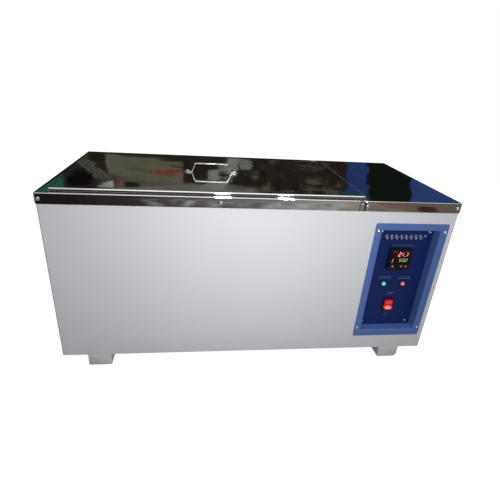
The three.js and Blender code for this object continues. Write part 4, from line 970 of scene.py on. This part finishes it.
def make_rocker():
    """The frame is rings round its well. The rocker is its side outline, a shallow V with round ends,
    carried across its width with each end drawn in."""
    y = PLATE_Y
    cx, _, cz = middle("rocker_frame")
    well_half = 9.7 * MM
    well = (cx - well_half, cx + well_half, cz - 12.8 * MM, cz + 12.8 * MM)
    grow = (ROCKER_HI.x - ROCKER_LO.x) / 2 - well_half
    steps = [(1.1 * MM, y + 24 * MM), (1.1 * MM, y - 0.3 * MM), (grow, y - 0.3 * MM),
             (grow, y - 1.7 * MM), (grow - 0.3 * MM, y - 2.3 * MM), (grow - 0.9 * MM, y - 2.6 * MM),
             (0.7 * MM, y - 2.6 * MM), (0.2 * MM, y - 2.4 * MM), (0, y - 1.9 * MM), (0, y + 13 * MM)]
    piece("rocker_bezel", [lidded(ringed(well, 0.8 * MM, steps, swell=0.3))], LOOKS["black_plastic"],
          "root", ["rocker_frame"])
    # the pivot, the half height of the rocker and its tilt at rest
    centre = np.array((cx, y - 0.6 * MM, cz))
    h = 11.8
    side = [(-5.0, -h + 0.5), (-5.15, -h + 1.2), (-4.35, -6.0), (-3.35, -0.9), (-3.2, 0), (-3.35, 0.9),
            (-4.35, 6.0), (-5.15, h - 1.2), (-5.0, h - 0.5), (-4.2, h - 0.1), (5, h - 2.5), (9, 3), (9, -3),
            (5, -h + 2.5), (-4.2, -h + 0.1)]
    side = np.array(side) * MM
    rings = []
    for x, draw in ((-9.2, 0.90), (-9.05, 0.955), (-8.6, 0.985), (-7.6, 1), (7.6, 1), (8.6, 0.985),
                    (9.05, 0.955), (9.2, 0.90)):
        rings.append(np.column_stack([np.full(len(side), x * MM), side * (draw, draw)]))
    rings = np.array(rings)
    t = math.radians(-12)
    ring_y = rings[..., 1] * math.cos(t) - rings[..., 2] * math.sin(t)
    ring_z = rings[..., 1] * math.sin(t) + rings[..., 2] * math.cos(t)
    rings = np.stack([rings[..., 0], ring_y, ring_z], -1) + centre
    piece("rocker_paddle", [lidded(rings)], LOOKS["rocker_red"], "power_rocker",
          ["power_rocker"], sharp=24)


# ------------------------------------------------------------------ feet, rear cover and casing details

def make_feet():
    """A folded block: its outline in XZ carried through Y, drawn in a little at both faces."""
    for name in [n for n in NODES if n.startswith("foot_")]:
        low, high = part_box(name)
        lower = 9 * MM if low.x > 0 else 1.5 * MM
        radii = (0.8 * MM, 1.5 * MM, lower, 0.8 * MM)
        flat, _ = outline(low.x, high.x, low.z, high.z, radii, (8, 6), 8)
        mid = flat.mean(0)
        rings = []
        for y, draw in ((0, 0.9), (0.25, 0.35), (0.9, 0), (8, 0), (34, 0), (41.1, 0), (41.75, 0.35),
                        (42, 0.9)):
            pulled = flat - np.sign(flat - mid) * draw * MM * 0.8
            depth = np.full(len(flat), low.y + y * MM)
            rings.append(np.column_stack([pulled[:, 0], depth, pulled[:, 1]]))
        piece(name + "_block", [lidded(np.array(rings))], LOOKS["foot_paint"], "root",
              [name])


def make_louvres():
    """Pressed hoods over the cooling slots. Their height over the sheet is
    sin(0.72 pi v)^0.7 (1 - |2u - 1|^10)^0.5."""
    u, v = np.meshgrid(np.linspace(0, 1, 29), np.linspace(0, 1, 9), indexing="ij")
    lift = np.sin(np.clip(math.pi * v * 0.72, 0, math.pi)) ** 0.7
    ends = np.sqrt(np.clip(1 - abs(2 * u - 1) ** 10, 0, 1))
    for row in range(8):
        z = (316.8 - row * 12) * MM
        grid = np.stack([(263.65 + 90 * u) * MM, BACK_Y + 3.2 * MM * lift * ends,
                         z + (4.2 - 6.4 * v) * MM], -1)
        piece(f"louvre_{row + 1}", [skin(grid)], LOOKS["grey_paint"], "root", (),
              0.8 * MM, (308.65 * MM, BACK_Y - 0.05, z))


# ------------------------------------------------------------------ heater, tray, valve and gland

def make_tray():
    """A sheet of square cells. In each, rings of points go from a round hole to the cell's outline."""
    low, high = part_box("diffuser_tray")
    pitch, hole = 60 * MM, 11 * MM
    cx, cy = (low.x + high.x) / 2, (low.y + high.y) / 2
    angle = np.linspace(0, 2 * math.pi, 32, endpoint=False) + math.pi / 32
    circle = np.stack([np.cos(angle), np.sin(angle)], 1)
    square = circle / abs(circle).max(1)[:, None]
    parts = []
    across = int((high.x - low.x - 40 * MM) / pitch + 1e-6)
    deep = int((high.y - low.y - 40 * MM) / pitch + 1e-6)
    for i in range(across + 1):
        for j in range(deep + 1):
            centre = np.array((cx + (i - across / 2) * pitch, cy + (j - deep / 2) * pitch))
            left = low.x if i == 0 else centre[0] - pitch / 2
            right = high.x if i == across else centre[0] + pitch / 2
            near = low.y if j == 0 else centre[1] - pitch / 2
            far = high.y if j == deep else centre[1] + pitch / 2
            reach = np.where(square > 0, (right - centre[0], far - centre[1]),
                             (centre[0] - left, centre[1] - near))
            rings = [centre + circle * hole, centre + circle * hole * 1.06, centre + square * reach]
            grid = np.array([np.column_stack([r, np.full(32, high.z)]) for r in rings])
            parts.append(skin(grid, wrap_columns=True))
    piece("tray_sheet", parts, LOOKS["satin_steel"], "root", ["diffuser_tray"],
          high.z - low.z, (cx, cy, low.z - 0.2))


def make_heater():
    """A round tube, 11 mm across, carried along a U, with a hexagonal nut on each leg."""
    low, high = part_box("heater_element")
    z = (low.z + high.z) / 2
    r = (high.z - low.z) / 2
    corners = [(high.x, low.y + r, z), (low.x + r, low.y + r, z), (low.x + r, high.y - r, z),
               (high.x, high.y - r, z)]
    bend = (high.y - low.y) / 2 - r
    path = spread(rounded_path(corners, [bend - 1e-6, bend - 1e-6], 24), 12 * MM)
    angle = np.linspace(0, 2 * math.pi, 20, endpoint=False)
    section = np.stack([np.cos(angle), np.sin(angle)], 1) * r
    piece("heater_tube", [carried(section, path, (0, 0, 1))], LOOKS["satin_steel"],
          "root", ["heater_element"])
    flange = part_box("heater_flange")[1].x
    nut = np.array([(5.8, 0.3), (8.6, 0.3), (9.2, 0.9), (9.2, 4.4), (8.6, 5), (5.8, 5)]) * MM
    nuts = [spun(nut, "x", (flange, y, z), 6) for y in (low.y + r, high.y - r)]
    piece("heater_nuts", nuts, LOOKS["brass"], sharp=20)


def make_valve():
    """Turned body with hexagonal ends and a hose tail, a dipped lever and its nut."""
    x, z = middle("drain_pipe")[0], 80.8 * MM
    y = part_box("valve_body")[0].y
    tail = [(15, 0.4), (15.3, 1.2), (15.3, 10.6), (15, 11.4), (14.2, 12.2), (15.6, 14.2), (16, 17),
            (16, 32), (15.4, 34.5), (13, 37), (11, 40), (9.2, 43.4), (8.6, 45.6), (9.75, 48.8),
            (9.8, 49.6), (8.6, 50.6), (9.75, 54.2), (9.8, 55), (8.9, 56.8), (7.7, 58), (5.6, 58),
            (5.5, 57), (5.5, 40)]
    parts = [spun([(a * MM, b * MM) for a, b in tail], "y", (x, y, z), 40)]
    hexagon = [(15.4, 0), (16.4, 0.5), (17.1, 1.2), (17.1, 9.2), (16.4, 10.2), (15.4, 10.6)]
    parts.append(spun([(a * 0.985 * MM, b * MM) for a, b in hexagon], "y", (x, y, z), 6, math.pi / 6))
    stem_y = middle("valve_ball")[1]
    neck = [(7.4, 10), (7.4, 17.2), (6.8, 18.6), (6.2, 19.0), (4.0, 19.0), (4.0, 16)]
    parts.append(spun([(a * MM, b * MM) for a, b in neck], "z", (x, stem_y, z), 32))
    piece("valve_casting", parts, LOOKS["chrome_trim"], "root", ["valve_body"], sharp=26)
    lever_lo, lever_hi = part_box("valve_lever")
    plan, _ = outline(lever_lo.x, lever_hi.x, lever_lo.y, lever_hi.y, (7 * MM,) * 4, (16, 3), 8)
    mid = plan.mean(0)
    rings = []
    for height, draw in ((0, 0.6), (0.3, 0.12), (0.8, 0), (1.7, 0), (2.2, 0.12), (2.5, 0.6)):
        gap = plan - mid
        pulled = plan - gap / np.linalg.norm(gap, axis=1)[:, None] * draw * MM
        rings.append(np.column_stack([pulled, np.full(len(plan), lever_lo.z + height * MM)]))
    piece("lever_grip", [lidded(np.array(rings))], LOOKS["lever_sleeve"], "drain_lever",
          ["valve_lever"])
    nut_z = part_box("lever_nut")[0].z
    nut = [(4.2, 0), (5.5, 0), (6, 0.4), (6, 2.8), (5.5, 3.3), (4.2, 3.4), (3.7, 3.1)]
    parts = [spun([(a * MM, b * MM) for a, b in nut], "z", (x, stem_y, nut_z), 6)]
    piece("lever_fixing", parts, LOOKS["galvanised"], "drain_lever", ["lever_nut"],
          sharp=20)


def make_gland():
    """A hexagonal collar, a ribbed dome nut and a rubber insert with its hole."""
    x, _, z = middle("cable_gland")
    y = BACK_Y
    collar = [(6.7, -14), (6.7, 0.3), (10.2, 0.3), (10.9, 0.9), (10.9, 5.2), (10.2, 6), (9, 6.2)]
    parts = [spun([(a * MM, b * MM) for a, b in collar], "y", (x, y, z), 6)]
    sides = 72
    angle = np.linspace(0, 2 * math.pi, sides, endpoint=False)
    rings = []
    nut = ((8.6, 6.1, 0.2), (9.0, 6.8, 0.35), (9.0, 13.2, 0.35), (8.6, 15.4, 0.25), (7.6, 17.4, 0.1),
           (6.6, 18.4, 0), (5.2, 18.9, 0), (4.3, 18.4, 0), (4.1, 8, 0))
    for radius, along, rib in nut:
        wave = (radius - rib * (0.5 + 0.5 * np.sign(np.sin(angle * 18)))) * MM
        rings.append(np.stack([x + wave * np.cos(angle), np.full(sides, y + along * MM),
                               z + wave * np.sin(angle)], 1))
    parts.append(lidded(np.array(rings)))
    piece("gland_nut", parts, LOOKS["black_plastic"], "root", ["cable_gland"],
          sharp=24)


for make in (make_lid, make_compartment_cover, make_tank_deck, make_fasteners, make_handle,
             make_control_frame, make_print, make_display, make_keys, make_lamps, make_rocker,
             make_feet, make_louvres, make_tray, make_heater, make_valve, make_gland):
    make()


# ------------------------------------------------------------------ floor, room and lights

def lay_floor():
    """A flat pale sheet, wide enough for every view."""
    half = 6.0
    line = np.linspace(-half, half, 13)
    x, y = np.meshgrid(line, line, indexing="ij")
    verts, faces = skin(np.stack([x, y, np.full(x.shape, -0.0005)], -1))
    mesh = bpy.data.meshes.new("floor")
    mesh.from_pydata(verts.tolist(), [], faces)
    f = Finish("pale_floor", Roughness=0.9, Emission_Strength=0.9, Emission_Color=(1, 1, 1, 1))
    drift = f.cloud(f.place, 2.0)
    f.feed("Base Color", f.mix(drift, (0.30, 0.30, 0.30), (0.33, 0.33, 0.33)))
    mesh.materials.append(f.material)
    floor = bpy.data.objects.new("floor", mesh)
    bpy.context.collection.objects.link(floor)
    floor.visible_glossy = False
    floor.visible_diffuse = False


def set_room():
    """White to the eye, soft grey to paint, and a dim workshop to polished metal.
    turn is the compass angle from +Y towards +X, and rise the height over the horizon, in degrees."""
    world = bpy.data.worlds.new("studio")
    bpy.context.scene.world = world
    world.use_nodes = True
    room = Sheet(world.node_tree)
    way = room.node("ShaderNodeTexCoord", output="Generated")
    x, y, z = room.split(way)
    turn = room.math("ARCTAN2", x, y) * (180 / math.pi)
    rise = room.math("ARCSINE", z) * (180 / math.pi)
    slow = room.cloud(way, 16.0, (1, 1, 2), 2.0) - 0.5
    slower = room.cloud(way, 11.0, (1, 1, 2), 2.0, (5, 2, 1)) - 0.5
    fine = room.cloud(way, 34.0, (1, 1, 4), 4.0, (1, 7, 3))
    lumps = room.cloud(way, 26.0, (1, 1, 2.4), 3.0, (4, 1, 8))
    turn = turn + slow * 0.9
    rise = rise + slower * 0.35

    studio = room.ramp(rise / 180.0 + 0.5, [
        (0.0, (0.30, 0.30, 0.30)), (0.46, (0.20, 0.20, 0.20)), (0.5, (0.14, 0.14, 0.14)),
        (0.58, (0.20, 0.20, 0.20)), (0.70, (0.40, 0.40, 0.40)), (0.76, (0.80, 0.80, 0.79)),
        (0.92, (0.75, 0.75, 0.75)), (1.0, (0.5, 0.5, 0.5))])
    dark = room.mix(room.clamp(fine * 2.4 - 0.7), (0.009, 0.006, 0.005), (0.026, 0.021, 0.017))
    olive = room.mix(fine, (0.066, 0.064, 0.040), (0.135, 0.134, 0.094))
    near = room.inside(turn, -32, 46, 8) * room.inside(rise, -4, 24, 7)
    behind = room.math("ARCTAN2", x, -y) * (180 / math.pi) + slow * 3.0
    view = room.mix(near, studio, dark)
    view = room.mix(room.inside(behind, -58, 62, 12) * room.inside(rise, -9, 36, 8), view,
                    room.mix(fine, (0.020, 0.018, 0.016), (0.07, 0.066, 0.06)))
    soot = (0.012, 0.010, 0.007)

    def lay(share, colour):
        nonlocal view
        view = room.mix(share, view, colour)

    def streak(start, end, half_width, soft=0.1):
        """1 along the straight line between two directions."""
        slope = (end[1] - start[1]) / (end[0] - start[0])
        off = rise - (turn - start[0]) * slope - start[1]
        across = room.inside(off, -half_width, half_width, soft)
        return across * room.inside(turn, start[0], end[0], 0.3)

    left = rise - (turn + 13.0) * 0.12
    lay(room.inside(turn, -13.2, -2.4, 0.35) * room.inside(left, 11.45, 14.35, 0.3), olive)
    lay(room.inside(turn, -12.6, 9, 2.5) * room.inside(rise, 15.75, 18.5, 0.4) * 0.9,
        room.mix(fine, (0.085, 0.083, 0.062), (0.235, 0.235, 0.205)))
    fold = rise - turn + lumps * 0.35
    zone = room.inside(fold, 27.6, 29.7, 0.3) * room.inside(rise, 11.3, 15.0, 0.6)
    lay(zone * 0.85, room.mix(lumps, (0.022, 0.020, 0.014), (0.060, 0.058, 0.042)))
    for place, width, glint in ((28.0, 0.05, 0.9), (28.32, 0.03, 0.45), (28.62, 0.04, 0.7),
                                (28.95, 0.03, 0.5), (29.3, 0.05, 0.75)):
        line = room.inside(fold, place - width, place + width, 0.09)
        lay(line * room.inside(rise, 11.7, 14.7, 0.8) * glint, (0.24, 0.235, 0.185))
    for place in (28.16, 28.8, 29.5):
        line = room.inside(fold, place - 0.05, place + 0.05, 0.08) * room.inside(rise, 11.5, 15.2, 0.6)
        lay(line * 0.8, (0.010, 0.009, 0.006))
    lay(streak((-12.7, 14.6), (-3.4, 15.75), 0.10, 0.2) * 0.7, soot)
    run = rise - (turn + 12.0) * 0.055 + slower * 0.6
    skims = room.math("SINE", run * 15.0) * 0.5 + 0.5
    lower = room.inside(turn, -12.5, 7.5, 1.5) * room.inside(run, 14.55, 16.4, 0.25)
    lay(lower * skims * 0.75, room.mix(fine, (0.085, 0.080, 0.058), (0.20, 0.195, 0.16)))
    lay(lower * room.clamp(0.6 - skims * 1.6) * 0.9, soot)
    lay(room.blob(turn, rise, (-16.85, 14.55), (1.75, 0.95), 0.14, -0.08), (0.0035, 0.0032, 0.005))
    lay(room.blob(turn, rise, (-9.85, 15.62), (1.25, 0.33), 0.3, 0.1), (0.004, 0.003, 0.003))
    wedge = room.inside(rise + (turn + 14.8) * 0.30, 15.70, 40, 0.12) * room.inside(rise, 0, 15.76, 0.12)
    lay(wedge * room.inside(turn, -14.8, -12.45, 0.15) * 0.9, (0.36, 0.36, 0.33))
    lay(room.blob(turn, rise, (-11.3, 15.2), (0.24, 0.30), 0.4), (0.34, 0.014, 0.04))
    broken = room.clamp((fine - 0.40) * 7.0)
    for drop in (-0.28, 0.0, 0.3):
        lay(streak((-10.9, 13.3 + drop), (-7.0, 13.85 + drop), 0.07, 0.12) * broken * 0.85, soot)
    lay(streak((-12.2, 12.2), (-6.0, 12.9), 0.10, 0.3) * broken * 0.5, (0.03, 0.03, 0.02))
    lay(room.inside(turn, -6.8, -2.4, 0.4) * room.inside(rise, 13.42, 14.28, 0.25),
        room.mix(broken, (0.10, 0.016, 0.012), (0.19, 0.034, 0.026)))
    drift = turn - 5.1 + (rise - 11.5) * 0.70
    cloud = room.inside(drift + slower * 5.0 + (lumps - 0.5) * 5.0, -1.5, 1.7, 0.5)
    cloud = cloud * room.inside(rise, 11.2, 16.4, 0.3)
    lay(cloud, room.mix(fine, (0.10, 0.105, 0.09), (0.23, 0.24, 0.22)))
    lay(room.blob(turn, rise, (3.5, 14.2), (0.8, 0.5), 0.4), (0.01, 0.01, 0.009))
    lay(room.blob(turn, rise, (7.1, 12.5), (1.35, 1.0), 0.12), (0.012, 0.012, 0.010))
    lay(room.blob(turn, rise, (6.9, 12.45), (1.05, 0.75), 0.15), (0.13, 0.138, 0.125))
    lay(streak((5.2, 15.2), (8.6, 13.6), 0.16, 0.15), (0.010, 0.010, 0.008))
    mottle = room.clamp((lumps - 0.51) * 10.0)
    lay(room.inside(turn, 7.5, 21.4, 0.8) * room.inside(rise, 13.5, 15.9, 0.5) * mottle * 0.9,
        (0.080, 0.072, 0.050))
    lay(room.inside(turn, 8, 20.5, 1.5) * room.inside(rise, 11.2, 12.4, 0.4) * mottle * 0.7,
        (0.062, 0.057, 0.042))
    teal = room.inside(turn, -34, -19.0, 0.4) * room.inside(rise, 14.0, 19, 0.6)
    lay(teal, room.mix(fine, (0.013, 0.060, 0.045), (0.030, 0.110, 0.085)))
    lean = turn - (rise - 12.6) * 0.2 + room.math("SINE", rise * 2.6) * 0.22
    lay(room.inside(lean, 21.9, 24.85, 0.25) * room.inside(rise, 9, 19, 0.6),
        room.mix(lumps, (0.013, 0.026, 0.105), (0.024, 0.046, 0.155)))
    lay(room.inside(lean, 24.85, 30.8, 0.2) * room.inside(rise, 9, 19, 0.6), (0.0055, 0.008, 0.006))
    lay(room.inside(lean, 30.8, 48, 0.2) * room.inside(rise, 9, 20, 0.6),
        room.mix(fine, (0.017, 0.038, 0.135), (0.030, 0.062, 0.185)))
    lay(room.inside(turn, 21.5, 25.4, 0.5) * room.inside(rise, 14.9, 16.5, 0.3) * 0.7,
        (0.016, 0.050, 0.055))

    lay(room.inside(turn, 15, 30, 3) * room.inside(rise, -14, 6.5, 2), (0.30, 0.30, 0.31))
    front = room.ramp(behind / 90.0 + 0.5, [
        (0.20, (0.011, 0.008, 0.008)), (0.30, (0.015, 0.011, 0.012)), (0.40, (0.040, 0.032, 0.034)),
        (0.50, (0.120, 0.108, 0.110)), (0.62, (0.19, 0.19, 0.19)), (0.74, (0.36, 0.35, 0.34)),
        (0.80, (0.17, 0.125, 0.100)), (0.92, (0.13, 0.095, 0.080))])
    low = room.inside(rise, -36, -7, 5) * room.inside(behind, -46, 54, 8)
    lay(low, front)
    middle_part = room.inside(behind, -8, 27, 4) * room.inside(rise, -22, -15, 1)
    lay(middle_part * room.clamp((lumps - 0.5) * 7.0) * 0.7, (0.44, 0.44, 0.43))
    lay(middle_part * room.clamp((0.47 - lumps) * 7.0) * 0.6, (0.07, 0.062, 0.058))
    lay(low * room.inside(behind, -46, 4, 5) * room.inside(rise, -34, -18.7, 0.4) * 0.7,
        (0.060, 0.014, 0.018))
    lay(room.blob(behind, rise, (33.5, -15.4), (1.6, 0.5), 0.4) * 0.85, (0.030, 0.008, 0.008))
    lay(room.blob(behind, rise, (30.5, -16.4), (3.4, 0.2), 0.5) * 0.6, (0.32, 0.25, 0.22))

    eye = room.node("ShaderNodeLightPath", output="Is Camera Ray")
    gloss = room.node("ShaderNodeLightPath", output="Is Glossy Ray")
    soft = room.ramp(z * 0.5 + 0.5, [(0.0, (0.17, 0.17, 0.175)), (0.5, (0.26, 0.26, 0.265)),
                                     (1.0, (0.36, 0.36, 0.36))])
    soft = room.mix(room.clamp(x * -1.6), soft, (0.055, 0.055, 0.058))
    seen = room.mix(eye, room.mix(gloss, soft, view), (1.0, 1.0, 1.0))
    shade = room.node("ShaderNodeBackground", {}, {"Color": seen, "Strength": 1.0})
    end = room.tree.nodes.new("ShaderNodeOutputWorld")
    room.tree.links.new(shade.socket, end.inputs[0])


def hang_light(name, place, aim, size, power):
    """A round lamp, size metres across, turned from its place towards aim."""
    lamp = bpy.data.lights.new(name, "AREA")
    lamp.shape = "DISK"
    lamp.size = size
    lamp.energy = power
    holder = bpy.data.objects.new(name, lamp)
    holder.location = place
    way = np.array(aim, float) - np.array(place, float)
    way /= np.linalg.norm(way)
    holder.rotation_euler = (math.acos(-way[2]), 0.0, math.atan2(-way[0], way[1]))
    bpy.context.collection.objects.link(holder)
    return holder


lay_floor()
set_room()
hang_light("key_left", (-0.03, -0.95, 0.66), (-0.08, -0.21, 0.32), 0.065, 2.3)
hang_light("key_right", (0.225, -0.95, 0.66), (0.04, -0.21, 0.30), 0.065, 1.8)
hang_light("front_fill", (-0.03, -0.62, 0.36), (-0.03, 0.0, 0.30), 0.12, 0.75).visible_glossy = False
hang_light("overhead", (0.1, -0.2, 1.7), (0.0, 0.0, 0.38), 1.6, 5.0)
hang_light("rear_fill", (-0.6, 1.6, 1.2), (0.0, 0.1, 0.2), 1.0, 19.0).visible_glossy = False
hang_light("side_fill", (2.0, 0.5, 0.9), (0.3, 0.0, 0.2), 1.0, 12.0).visible_glossy = False
bpy.context.scene.view_settings.view_transform = "Standard"
